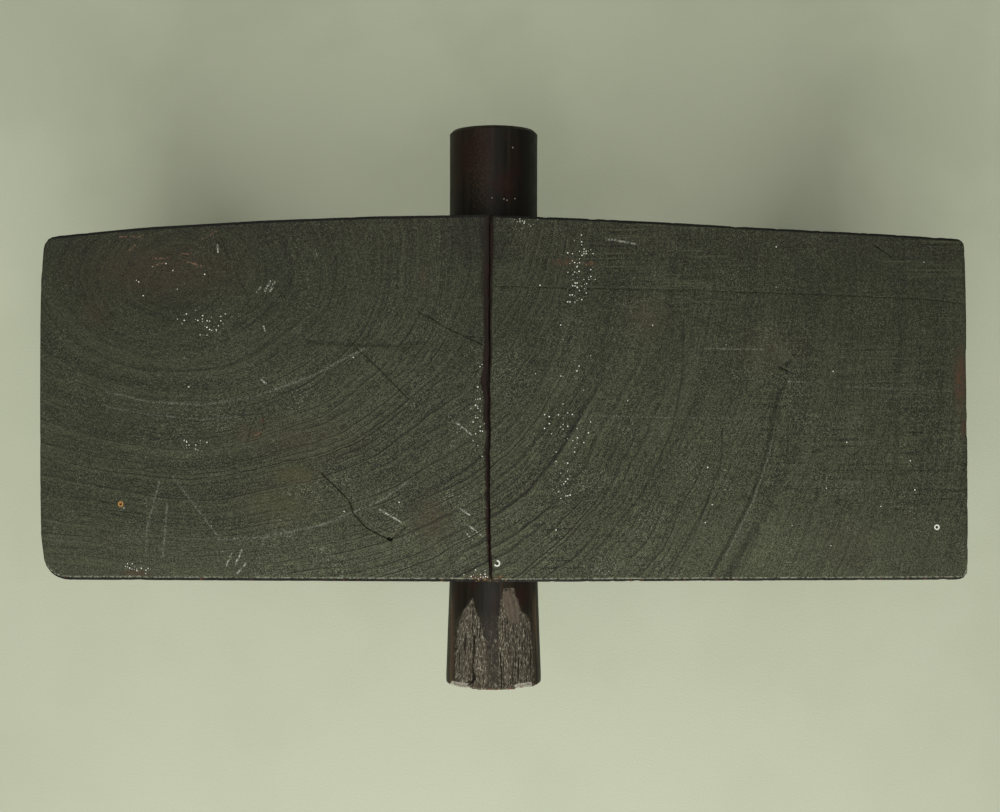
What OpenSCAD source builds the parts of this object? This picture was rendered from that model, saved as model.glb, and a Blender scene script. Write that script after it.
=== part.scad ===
// Single ox yoke: two upright cheeks butted together at the crown and standing on their feet.
// X runs across the neck, Y from the front of the yoke to its rear, Z up from the ground.
// The crown joint is a loose tenon let into both cheeks, held by four wedged lock pins. The crown peg is
// driven through the seam and through the eye of the tenon, and the draught rope is hitched to it.

/* [Crown] */
// Width of the crown across both cheeks
crown_w = 405; // [370:1:440]
// Thickness of the crown at the seam, from front to rear
crown_t = 158.5; // [140:0.5:180]
// Height of the crown above the ground, at the seam
crown_z = 350; // [335:1:400]
// Wood left between the top of the arch and the crown
crown_depth = 110; // [104:1:130]
// How far the crown falls from the seam to each end
crown_fall = 8; // [2:0.5:14]
// Distance of the seam to the left of the yoke's middle
seam_left = 6; // [0:0.5:15]
// How far the curved rear of the left cheek draws in at its end
rear_bow = 8.4; // [4:0.1:12]
// How far the sloping rear of the right cheek draws in at its end
rear_slope = 9.5; // [4:0.1:12]
// Length of flat rear face on the right cheek, before the slope starts
rear_flat = 15; // [5:1:40]
// How far the left end of the crown draws in at its corners
end_draw_left = 1.5; // [0.5:0.1:5]
// How far the right end of the crown draws in at its corners
end_draw_right = 0.4; // [0.2:0.1:3]
// How far the right end leans out at its front corner and in at its rear corner
end_lean_right = 0.7; // [0:0.1:2]

/* [Legs] */
// How far the legs swell outside the ends of the crown
leg_swell = 28; // [15:1:32]
// Height of the widest place on the legs
swell_z = 120; // [100:1:150]
// How far the front and the rear of each leg draw in towards the foot
foot_draw = 21; // [10:1:26]
// Bevel round the underside of each foot
foot_bevel = 6; // [2:0.5:8]
// Radius of the front corner of the left cheek
front_left_r = 11; // [4:0.1:14]
// Radius of the rear corner of the left cheek
rear_left_r = 6; // [2:0.1:8]
// Radius of both corners of the right cheek
right_r = 4.2; // [2:0.1:8]

/* [Neck arch] */
// Radius of the arch that sits on the neck
arch_r = 140; // [125:1:146]
// How far each side of the mouth spreads between the arch and the ground
mouth_spread = 10; // [2:1:15]
// Radius that eases the two edges of the arch
seat_round = 22; // [12:1:28]

/* [Crown joint] */
// Thickness of the loose tenon, from front to rear
tenon_t = 40; // [30:1:50]
// Length of the loose tenon across the seam
tenon_len = 200; // [180:1:220]
// Height of the loose tenon
tenon_h = 78; // [72:1:84]
// Clearance all round the tenon in its mortises
tenon_gap = 0.3; // [0.2:0.05:0.5]
// Bevel on the ends of the tenon, which leads it into the mortises
tenon_lead = 5; // [2:0.5:8]
// Diameter of the lock pins
pin_d = 14; // [12:0.5:16]
// Distance of the lock pins from the seam
pin_from_seam = 64; // [56:1:72]
// Distance between the upper and the lower lock pin of a cheek
pin_pitch = 40; // [34:1:44]
// How far the lock pins stand out of the wood at each end
pin_proud = 2.5; // [1:0.5:3.5]
// Clearance round a lock pin or a trace peg in its hole
pin_gap = 0.2; // [0.15:0.05:0.4]
// Thickness of a pin's wedge at its outer end
wedge_t = 3; // [2:0.25:4]
// Depth of the wedge in the end of its pin
wedge_depth = 18; // [12:1:24]

/* [Crown peg] */
// Diameter of the crown peg where the hitch has worn it, outside the crown
peg_d = 41; // [34:0.5:46]
// How much fatter the crown peg is inside its bore, on the radius
peg_swell = 0.5; // [0.3:0.1:1]
// Length of the crown peg
peg_len = 257; // [235:1:275]
// How far the front end of the crown peg stands out of the crown
peg_front = 53.5; // [40:0.5:65]
// Diameter of the beaten front end of the crown peg
peg_head_d = 44.5; // [42:0.5:52]
// Depth of the crown peg's axis under the crown
peg_drop = 55; // [52:0.5:60]
// Distance of the crown peg's axis to the right of the seam
peg_right = 1.7; // [0:0.1:4]
// Clearance round the crown peg in its bore
peg_gap = 0.3; // [0.2:0.05:0.5]
// Bevel on the rear end of the crown peg
peg_bevel = 1.5; // [0.5:0.5:4]

/* [Trace pegs] */
// Diameter of a trace peg's tail
trace_d = 22; // [18:0.5:26]
// How much fatter a trace peg is inside its leg, on the radius
trace_swell = 0.5; // [0.3:0.1:1]
// How far the fat part of a trace peg runs out of the rear of its leg
trace_shoulder = 3; // [2:0.5:5]
// Height of the trace pegs above the ground
trace_z = 150; // [135:1:165]
// Distance of a trace peg's axis from the outside of its leg
trace_edge = 50; // [44:1:56]
// How far a trace peg stands out of the leg at each end
trace_proud = 25; // [20:1:28]
// Diameter of the head of a trace peg
trace_head_d = 32; // [28:0.5:38]
// Length of the head of a trace peg
trace_head = 12; // [8:0.5:16]

/* [Throat rope] */
// Height of the rope neck carved round each leg
neck_z = 82; // [76:1:90]
// Radius of the rope neck's hollow
neck_r = 15; // [12:0.5:20]
// Depth of the rope neck's hollow
neck_depth = 5; // [3:0.5:7]
// Diameter of the throat rope's hole through each foot
rope_hole_d = 20; // [16:0.5:26]
// Height of the throat rope's hole
rope_hole_z = 36; // [30:1:42]
// Bevel at both ends of the throat rope's hole
rope_bevel = 2; // [1:0.5:4]

/* [Hidden] */
$fn = 96;

// Left and right are the signs of X.
LEFT = -1;
RIGHT = 1;

// Colours of the ebonised cheeks, the peg and the hidden or newer wood
EBONY = [0.25, 0.255, 0.205];
PEG_BROWN = [0.17, 0.14, 0.11];
PIN_BROWN = [0.26, 0.19, 0.13];
TENON_WOOD = [0.5, 0.38, 0.25];

// Points on a rounded corner, and rings up the height of a cheek
ARC_STEPS = 6;
RING_STEPS = 8;
// Length by which a cut runs past the wood it is made in
OVER = 5;
// Length of the step between the worn and the fat parts of a peg, and how far out of the crown it ends
PEG_STEP = 3;
PEG_STEP_OUT = 0.5;
// Bevel on a lock pin's front end, thickness of its wedge's tip, and the wedge's clearance in its slot
PIN_BEVEL = 1;
WEDGE_TIP = 1;
WEDGE_GAP = 0.1;
// Length of the slope behind a trace peg's head, and the bevel on its tail
HEAD_SLOPE = 5;
TAIL_BEVEL = 2;

half_w = crown_w / 2;
seam_x = -seam_left;
front = peg_front - peg_len / 2;
rear = front + crown_t;
middle_y = (front + rear) / 2;

arch_top = crown_z - crown_depth;
arch_z = arch_top - arch_r;
mouth_x = arch_r + mouth_spread;

peg_x = seam_x + peg_right;
peg_z = crown_z - peg_drop;

// Radius of the long curve down the outside of a leg, through the crown's end and the widest place
end_z = crown_z - crown_fall;
side_r = pow(end_z - swell_z, 2) / (2 * leg_swell) + leg_swell / 2;

// Distance of the trace pegs from the yoke's middle
trace_x = side_x(trace_z) - trace_edge;

// Distance from the seam to the outer end of a cheek
function reach(side) = half_w - side * seam_x;

// Outside of a leg at height z, measured from the yoke's middle
function side_x(z) = half_w + leg_swell - side_r + sqrt(pow(side_r, 2) - pow(z - swell_z, 2));

// How far the front and the rear have drawn in at height z
function drawn_in(z) = foot_draw * max(0, arch_top - z) / arch_top;

function front_y(z) = front + drawn_in(z);

// Setback of the rear face at a distance from the seam: a bow on the left, a flat and a slope on the right
function rear_setback(side, from_seam) = side == LEFT
    ? rear_bow * pow(from_seam / reach(side), 2)
    : rear_slope * max(0, from_seam - rear_flat) / (reach(side) - rear_flat);

function rear_y(side, x, z) = rear - drawn_in(z) - rear_setback(side, abs(x - seam_x));

// Points of an arc, from one angle to another
function arc(x, y, r, from, to) = [
    for (i = [0 : ARC_STEPS])
        let (a = from + (to - from) * i / ARC_STEPS)
        [x + r * cos(a), y + r * sin(a)]
];

// Outline of a cheek at height z, seen from above and laid out to the right of the seam, from the front of
// the seam, round the outer end and back along the rear. The inset draws in all but the seam.
function outline(side, z, inset) =
    let (
        front_r = side == LEFT ? front_left_r : right_r,
        rear_r = side == LEFT ? rear_left_r : right_r,
        draw = side == LEFT ? end_draw_left : end_draw_right,
        lean = side == LEFT ? 0 : end_lean_right,
        x_end = side_x(z) - inset,
        x_front = x_end - draw + lean,
        x_rear = x_end - draw - lean,
        y_front = front_y(z) + inset,
        y_rear = rear_y(side, side * half_w, z) - inset,
        y_centre = (y_front + y_rear) / 2,
        y_half = (y_rear - y_front) / 2
    )
    concat(
        [[side * seam_x, y_front]],
        arc(x_front - front_r, y_front + front_r, front_r, -90, 0),
        [for (t = [-0.75 : 0.25 : 0.75]) [x_end - draw * pow(t, 4) - lean * t, y_centre + t * y_half]],
        arc(x_rear - rear_r, y_rear - rear_r, rear_r, 0, 90),
        [for (t = [0.75, 0.5, 0.25])
            let (x = seam_x + side * reach(side) * t)
            [side * x, rear_y(side, x, z) - inset]],
        [[side * seam_x, rear - drawn_in(z) - inset]]
    );

// A solid skinned over a stack of outlines, each [height, points], from the lowest to the highest
module skin(stack) {
    count = len(stack[0][1]);
    top = (len(stack) - 1) * count;
    points = [for (ring = stack) for (p = ring[1]) [p[0], p[1], ring[0]]];
    sides = [
        for (j = [0 : len(stack) - 2]) for (i = [0 : count - 1])
            let (a = j * count + i, b = j * count + (i + 1) % count)
            each [[a, a + count, b + count], [a, b + count, b]]
    ];
    polyhedron(
        points = points,
        faces = concat([[for (i = [0 : count - 1]) i]], sides, [[for (i = [count - 1 : -1 : 0]) top + i]])
    );
}

// A cylinder along Y between two places
module along_y(x, z, r, from, to) {
    translate([x, from, z])
        rotate([-90, 0, 0])
            cylinder(r = r, h = to - from);
}

// The swelling outside of a cheek, laid out to the right, before anything is cut into it
module cheek_form(side) {
    heights = [for (i = [0 : RING_STEPS]) foot_bevel + (crown_z - foot_bevel) * i / RING_STEPS];
    skin(concat([[0, outline(side, 0, foot_bevel)]], [for (z = heights) [z, outline(side, z, 0)]]));
}

// Everything above the crown, which falls to each side of the seam
module above_crown(side) {
    fall_angle = atan(crown_fall / reach(side));
    translate([seam_x, 0, crown_z])
        rotate([0, side * fall_angle, 0])
            translate([side * crown_w / 2, 0, crown_t / 2])
                cube([crown_w + 2 * OVER, 2 * crown_t, crown_t], center = true);
}

// The room for the neck: a round arch over a mouth that spreads towards the ground
module neck_room() {
    along_y(0, arch_z, arch_r, front - OVER, rear + OVER);
    translate([0, rear + OVER, 0])
        rotate([90, 0, 0])
            linear_extrude(crown_t + 2 * OVER)
                polygon([
                    [-arch_r, arch_z], [-mouth_x, foot_bevel], [-mouth_x - foot_bevel - OVER, -OVER],
                    [mouth_x + foot_bevel + OVER, -OVER], [mouth_x, foot_bevel], [arch_r, arch_z]
                ]);
}

// The waste outside a rounded edge of the arch, with the face of the yoke at Z = 0 and the wood above it
module seat_waste() {
    rotate_extrude($fn = 144)
        difference() {
            translate([arch_r - OVER, -OVER])
                square([seat_round + OVER, seat_round + OVER]);
            translate([arch_r + seat_round, seat_round])
                circle(r = seat_round, $fn = 96);
        }
}

module seat_edges() {
    translate([0, front, arch_z])
        rotate([-90, 0, 0])
            seat_waste();
    translate([0, rear, arch_z])
        rotate([90, 0, 0])
            seat_waste();
}

// The hollow carved round the front, the outside and the rear of a leg, above its foot
module rope_neck(side) {
    leg_x = side * (mouth_x + side_x(neck_z)) / 2;
    standoff = neck_r - neck_depth;
    along_y(side * (side_x(neck_z) + standoff), neck_z, neck_r, front - OVER, rear + OVER);
    for (y = [front_y(neck_z) - standoff, rear_y(side, leg_x, neck_z) + standoff])
        translate([leg_x, y, neck_z])
            rotate([0, 90, 0])
                cylinder(r = neck_r, h = half_w, center = true);
}

// Hole for the throat rope, across the foot, with its mouths bevelled
module rope_hole(side) {
    inner = mouth_x - mouth_spread * (rope_hole_z - foot_bevel) / (arch_z - foot_bevel);
    outer = side_x(rope_hole_z);
    r = rope_hole_d / 2;
    translate([side * inner, middle_y, rope_hole_z])
        rotate([0, side * 90, 0]) {
            translate([0, 0, -OVER])
                cylinder(r = r, h = outer - inner + 2 * OVER);
            translate([0, 0, -rope_bevel])
                cylinder(r1 = r + 2 * rope_bevel, r2 = r, h = 2 * rope_bevel);
            translate([0, 0, outer - inner - rope_bevel])
                cylinder(r1 = r, r2 = r + 2 * rope_bevel, h = 2 * rope_bevel);
        }
}

// The loose tenon, bevelled at both ends, grown on every face by a clearance
module tenon_block(grow) {
    half = tenon_len / 2 + grow;
    side_half = tenon_t / 2 + grow;
    end_half = side_half - tenon_lead;
    translate([seam_x, middle_y, peg_z - tenon_h / 2 - grow])
        linear_extrude(tenon_h + 2 * grow)
            polygon([
                [-half, -end_half], [-half + tenon_lead, -side_half], [half - tenon_lead, -side_half],
                [half, -end_half], [half, end_half], [half - tenon_lead, side_half],
                [-half + tenon_lead, side_half], [-half, end_half]
            ]);
}

// Bore of the crown peg, through both cheeks at the seam and through the tenon
module peg_bore() {
    along_y(peg_x, peg_z, peg_d / 2 + peg_swell + peg_gap, front - OVER, rear + OVER);
}

function pin_x(side) = seam_x + side * pin_from_seam;
function pin_z(level) = peg_z + level * pin_pitch / 2;

// Holes of a cheek's two lock pins, through the cheek and the tenon
module pin_holes(side) {
    for (level = [-1, 1])
        along_y(pin_x(side), pin_z(level), pin_d / 2 + pin_gap, front - OVER, rear + OVER);
}

module cheek(side) {
    color(EBONY)
        difference() {
            mirror([side == LEFT ? 1 : 0, 0, 0])
                cheek_form(side);
            above_crown(side);
            neck_room();
            seat_edges();
            rope_neck(side);
            rope_hole(side);
            tenon_block(tenon_gap);
            peg_bore();
            pin_holes(side);
            along_y(side * trace_x, trace_z, trace_d / 2 + trace_swell + pin_gap, front - OVER, rear + OVER);
        }
}

module left_cheek() {
    cheek(LEFT);
}

module right_cheek() {
    cheek(RIGHT);
}

module crown_tenon() {
    color(TENON_WOOD)
        difference() {
            tenon_block(0);
            peg_bore();
            pin_holes(LEFT);
            pin_holes(RIGHT);
        }
}

// The crown peg, from its rear end: a worn tail, a fatter straight in the bore, and a front end that flares
// where it has been beaten
module crown_peg() {
    r = peg_d / 2;
    fat_r = r + peg_swell;
    head_r = peg_head_d / 2;
    tail = peg_len - peg_front - crown_t - PEG_STEP_OUT;
    neck = peg_len - peg_front + PEG_STEP_OUT;
    color(PEG_BROWN)
        translate([peg_x, peg_len / 2, peg_z])
            rotate([90, 0, 0])
                rotate_extrude()
                    polygon(concat(
                        [[0, 0], [r - peg_bevel, 0], [r, peg_bevel], [r, tail], [fat_r, tail + PEG_STEP]],
                        [[fat_r, neck - PEG_STEP], [r, neck]],
                        arc(head_r - peg_bevel, peg_len - peg_bevel, peg_bevel, 0, 90),
                        [[0, peg_len]]
                    ));
}

// A wedge's outline, from the end of its pin inwards, grown sideways by a clearance and run out of the pin
module wedge_outline(grow, out) {
    tip = WEDGE_TIP / 2 + grow;
    outer = tip + (wedge_t - WEDGE_TIP) / 2 * (wedge_depth + out) / wedge_depth;
    polygon([[-outer, out], [outer, out], [tip, -wedge_depth], [-tip, -wedge_depth]]);
}

// A flat wedge in the rear end of a lock pin, standing across the grain of the cheek
module pin_wedge(side, level, grow, out) {
    translate([pin_x(side), rear_y(side, pin_x(side), pin_z(level)) + pin_proud, pin_z(level)])
        rotate([0, 90, 0])
            linear_extrude(pin_d + 2 * out, center = true)
                wedge_outline(grow, out);
}

module lock_wedge(side, level) {
    color(TENON_WOOD)
        intersection() {
            pin_wedge(side, level, 0, 0);
            along_y(pin_x(side), pin_z(level), pin_d / 2, front, rear + OVER);
        }
}

module lock_pin(side, level) {
    r = pin_d / 2;
    start = front - pin_proud;
    length = rear_y(side, pin_x(side), pin_z(level)) + pin_proud - start;
    color(PIN_BROWN)
        difference() {
            translate([pin_x(side), start, pin_z(level)])
                rotate([-90, 90, 0])
                    rotate_extrude()
                        polygon([[0, 0], [r - PIN_BEVEL, 0], [r, PIN_BEVEL], [r, length], [0, length]]);
            pin_wedge(side, level, WEDGE_GAP, OVER);
        }
}

// A trace peg goes through a leg from the front, where its head is turned to a dome
module trace_peg(side) {
    r = trace_d / 2;
    fat_r = r + trace_swell;
    head_r = trace_head_d / 2;
    start = front_y(trace_z) - trace_proud;
    end = rear_y(side, side * trace_x, trace_z) + trace_proud;
    tail = end - start - trace_proud + trace_shoulder;
    color(PEG_BROWN)
        translate([side * trace_x, start, trace_z])
            rotate([-90, 0, 0])
                rotate_extrude()
                    polygon(concat(
                        [[0, end - start], [0, 0]],
                        [for (a = [30 : 15 : 90]) [head_r * sin(a), trace_head / 2 * (1 - cos(a))]],
                        [[head_r, trace_head - HEAD_SLOPE / 2], [fat_r, trace_head + HEAD_SLOPE / 2]],
                        [[fat_r, tail], [r, tail + trace_swell], [r, end - start - TAIL_BEVEL]],
                        [[r - TAIL_BEVEL, end - start]]
                    ));
}

left_cheek();
right_cheek();
crown_tenon();
crown_peg();
lock_pin(LEFT, 1);  // left_upper_pin
lock_pin(LEFT, -1);  // left_lower_pin
lock_pin(RIGHT, 1);  // right_upper_pin
lock_pin(RIGHT, -1);  // right_lower_pin
lock_wedge(LEFT, 1);  // left_upper_wedge
lock_wedge(LEFT, -1);  // left_lower_wedge
lock_wedge(RIGHT, 1);  // right_upper_wedge
lock_wedge(RIGHT, -1);  // right_lower_wedge
trace_peg(LEFT);  // left_trace_peg
trace_peg(RIGHT);  // right_trace_peg
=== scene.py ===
"""Looks for a neck yoke: two ebonised cheeks joined at the crown by a tenon, pins and a round peg."""

import logging
import math
from collections.abc import Callable, Iterable, Sequence
from dataclasses import dataclass
from enum import Enum

import bmesh
import bpy
import numpy as np
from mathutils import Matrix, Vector, kdtree, noise
from mathutils.bvhtree import BVHTree


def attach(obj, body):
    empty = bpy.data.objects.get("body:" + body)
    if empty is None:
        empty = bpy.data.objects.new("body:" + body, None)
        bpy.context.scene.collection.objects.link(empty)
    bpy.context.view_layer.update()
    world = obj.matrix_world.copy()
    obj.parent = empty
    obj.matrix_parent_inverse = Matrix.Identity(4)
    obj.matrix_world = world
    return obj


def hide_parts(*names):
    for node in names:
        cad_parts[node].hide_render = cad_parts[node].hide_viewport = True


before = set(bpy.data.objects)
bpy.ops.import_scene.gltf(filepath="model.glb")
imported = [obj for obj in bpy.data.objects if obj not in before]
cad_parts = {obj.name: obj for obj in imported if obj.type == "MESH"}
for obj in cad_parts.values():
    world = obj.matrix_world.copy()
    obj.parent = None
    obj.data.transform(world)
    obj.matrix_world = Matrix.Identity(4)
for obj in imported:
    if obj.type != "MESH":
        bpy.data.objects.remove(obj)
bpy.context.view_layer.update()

# Lengths are in mm, and MM turns them into Blender's metres. WELD is in metres: corners nearer are one.
MM = 0.001
WELD = 2e-6
WOOD_IOR = 1.5
SEAM_X = -6.0
CROWN_Z = 350.0
PEG_X = -4.3
PEG_Z = 295.0

Array = np.ndarray
Mesh = bpy.types.Mesh
BMesh = bmesh.types.BMesh
Material = bpy.types.Material
Socket = bpy.types.NodeSocket
Place = tuple[float, float]
Point = tuple[float, float, float]
Colour = tuple[float, float, float, float]
Value = float | Sequence[float] | Socket

log = logging.getLogger("yoke")


class Body(Enum):
    """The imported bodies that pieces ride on."""

    YOKE = "yoke"
    PEG = "peg"


class Slot(Enum):
    """The record's material slots, one named for each kind of worn piece."""

    CHEEK = "cheek_wood"
    PEG = "peg_wood"
    PIN = "pin_wood"
    WEDGE = "wedge_wood"


class Side(Enum):
    """The two halves of the yoke, by the sign of X that points away from the seam."""

    LEFT = -1
    RIGHT = 1


class Mark(Enum):
    """The marks that a piece carries on its vertices for its finish to read."""

    ARRIS = "arris"
    CHECK = "check"
    SCRATCH = "scratch"
    SPECK = "speck"
    RUST = "rust"
    STAIN = "stain"
    SEAM = "seam"
    # Scuffs on the cheeks, and a painted reflection along the front peg's flanks.
    SCUFF = "scuff"
    POLISH = "polish"
    LIP = "lip"
    CRUMB = "crumb"
    TOOTH = "tooth"
    BARK = "bark"
    BARE = "bare"
    BURR = "burr"
    BEAD = "bead"
    GRAZE = "graze"
    LONG_GRAIN = "long_grain"
    # Grime on the crown, and painted shade on the rear peg's right side.
    GRIME = "grime"


# A share of a layer's strength: a mark, a number, a socket, or a ramp. A ramp is a tuple of a mark or a
# socket, the value at which it is 0, the value at which it is full, and how strong it is there, if not 1.
Share = Mark | float | Socket | tuple


# ---------------------------------------------------------------- finishes


def linear(code: str) -> Colour:
    """Turn an sRGB hex value into a linear colour.

    Args:
        code: six hex digits, without the hash.

    Returns:
        The linear red, green, blue and an alpha of one.
    """
    parts = [int(code[i:i + 2], 16) / 255 for i in (0, 2, 4)]
    lit = [p / 12.92 if p <= 0.04045 else ((p + 0.055) / 1.055) ** 2.4 for p in parts]
    return (lit[0], lit[1], lit[2], 1.0)


class Layers:
    """A material put together in layers of colour, roughness and relief over places in millimetres."""

    def __init__(self, name: str, ground: str, roughness: float) -> None:
        """Start a material.

        Args:
            name: what the finish is.
            ground: the colour under every layer.
            roughness: the roughness under every layer.
        """
        self.material = bpy.data.materials.new(name)
        self.material.use_nodes = True
        self.tree = self.material.node_tree
        self.tree.nodes.clear()
        self.colour: Value = linear(ground)
        self.roughness: Value = roughness
        self.height: Value = 0.0
        metres = self.node("TexCoord", out="Object")
        self.place = self.node("VectorMath", {0: metres, "Scale": 1 / MM}, operation="SCALE")
        self.x, self.y, self.z = self.node("SeparateXYZ", {0: self.place}).node.outputs
        self.lie: tuple[Socket, Socket] = (self.x, self.y)

    def node(
        self, kind: str, inputs: dict[int | str, Value] | None = None, out: int | str = 0, **settings: object
    ) -> Socket:
        """Add a node, set it and join it up.

        Args:
            kind: the node's type, without its ShaderNode prefix.
            inputs: a value or a socket for each input, by index or name.
            out: the output that is wanted.
            **settings: the node's own properties.

        Returns:
            The wanted output socket.
        """
        node = self.tree.nodes.new("ShaderNode" + kind)
        for name, value in settings.items():
            setattr(node, name, value)
        for key, value in (inputs or {}).items():
            if isinstance(value, Socket):
                self.tree.links.new(value, node.inputs[key])
            else:
                node.inputs[key].default_value = value
        return node.outputs[out]

    def streaks(
        self, width: float, length: float, depth: float, lie: tuple[Socket, Socket] | None = None
    ) -> Socket:
        """Make a cloudy pattern that is drawn out along the wood's lie.

        Args:
            width: the width of a streak in mm.
            length: its length in mm.
            depth: its length down the block in mm.
            lie: the coordinates across and along the streaks in mm, if not the wood's own.

        Returns:
            The pattern, which mostly stays between 0.3 and 0.7.
        """
        across, along = lie or self.lie
        drawn = self.node("CombineXYZ", {0: across, 1: along, 2: self.z})
        counts = (1 / width, 1 / length, 1 / depth)
        scaled = self.node("VectorMath", {0: drawn, 1: counts}, operation="MULTIPLY")
        return self.node("TexNoise", {"Vector": scaled, "Scale": 1.0, "Detail": 2.0, "Roughness": 0.6})

    def cloud(self, size: float, detail: float = 2.0) -> Socket:
        """Return an even cloudy pattern whose patches are about size mm across."""
        spread = {"Scale": 1 / size, "Detail": detail, "Roughness": 0.55}
        return self.node("TexNoise", {"Vector": self.place, **spread})

    def strength(self, *shares: Share) -> Value:
        """Multiply shares into one strength, which is where all of them apply.

        Args:
            *shares: marks, numbers, sockets or ramps.

        Returns:
            Their product.
        """
        product: Value | None = None
        for share in shares:
            if isinstance(share, tuple):
                value, low, high, top = (*share, 1.0)[:4]
                limits = {"From Min": low, "From Max": high, "To Min": 0.0, "To Max": top}
                inputs = {"Value": self.strength(value), **limits}
                share = self.node("MapRange", inputs, interpolation_type="SMOOTHSTEP")
            elif isinstance(share, Mark):
                share = self.node("Attribute", out="Fac", attribute_name=share.value)
            if product is not None:
                share = self.node("Math", {0: product, 1: share}, operation="MULTIPLY")
            product = share
        return product

    def coat(self, colour: str, *shares: Share) -> None:
        """Lay a colour over the layers so far, as strongly as the shares say.

        Args:
            colour: the colour.
            *shares: marks, numbers, sockets or ramps.
        """
        where = self.strength(*shares)
        self.colour = self.node("Mix", {0: where, 6: self.colour, 7: linear(colour)}, 2, data_type="RGBA")

    def gloss(self, roughness: float, *shares: Share) -> None:
        """Bring the roughness to a new value, as strongly as the shares say."""
        self.roughness = self.node("Mix", {0: self.strength(*shares), 2: self.roughness, 3: roughness})

    def emboss(self, depth: float, *shares: Share) -> None:
        """Add the shares' product to the relief, depth mm high where it is 1."""
        raised = {0: self.strength(*shares), 1: depth, 2: self.height}
        self.height = self.node("Math", raised, operation="MULTIPLY_ADD")

    def wood(self, specular: float) -> Material:
        """Join the layers to a wood's shader.

        Args:
            specular: the shader's share of mirror light, under its usual 0.5 on dusty wood.

        Returns:
            The finished material.
        """
        bump = self.node("Bump", {"Strength": 1.0, "Distance": MM, "Height": self.height})
        shine = {"IOR": WOOD_IOR, "Specular IOR Level": specular, "Roughness": self.roughness}
        return self.finish(self.node("BsdfPrincipled", {"Base Color": self.colour, "Normal": bump, **shine}))

    def finish(self, shader: Socket) -> Material:
        """Join a shader to the material's output.

        Args:
            shader: the shader's socket.

        Returns:
            The finished material.
        """
        output = self.tree.nodes.new("ShaderNodeOutputMaterial")
        self.tree.links.new(shader, output.inputs["Surface"])
        return self.material


@dataclass(frozen=True)
class Rings:
    """The lie of a timber's growth rings, which stand upright through it.

    A ring is where this stays the same: across_y * Y plus bow times the distance from the pith,
    which counts Y only by bow_y and is blunted by bow_soft.
    """

    pith_x: float
    pith_y: float
    across_y: float
    bow: float = 1.0
    bow_y: float = 1.0
    bow_soft: float = 1.0
    sway: float = 9.0
    sway_size: float = 110.0
    ripple: float = 2.0
    ripple_size: float = 22.0
    lean: float = 0.03
    run: Point = (1.0, 0.0, 0.0)

    def lay(self, layers: Layers) -> None:
        """Set the lie of a material's streaks: across the rings with their sway and ripples, and along them.

        Args:
            layers: the material.
        """
        node, place = layers.node, layers.place
        slope = (0.0, self.across_y, self.lean)
        flat = node("VectorMath", {0: place, 1: slope}, "Value", operation="DOT_PRODUCT")
        away = node("VectorMath", {0: place, 1: (-self.pith_x, -self.pith_y, 0.0)}, operation="ADD")
        blunted = {0: away, 1: (1.0, self.bow_y, 0.0), 2: (0.0, 0.0, self.bow_soft)}
        counted = node("VectorMath", blunted, operation="MULTIPLY_ADD")
        reach = node("VectorMath", {0: counted}, "Value", operation="LENGTH")
        across = node("Math", {0: reach, 1: self.bow, 2: flat}, operation="MULTIPLY_ADD")
        tall = node("VectorMath", {0: place, 1: (1.0, 1.0, 0.25)}, operation="MULTIPLY")
        for height, size, detail in ((self.sway, self.sway_size, 1.0), (self.ripple, self.ripple_size, 2.0)):
            wave = node("TexNoise", {"Vector": tall, "Scale": 1 / size, "Detail": detail})
            across = node("Math", {0: wave, 1: 2 * height, 2: across}, operation="MULTIPLY_ADD")
        along = node("VectorMath", {0: place, 1: self.run}, "Value", operation="DOT_PRODUCT")
        layers.lie = (across, along)


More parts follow.
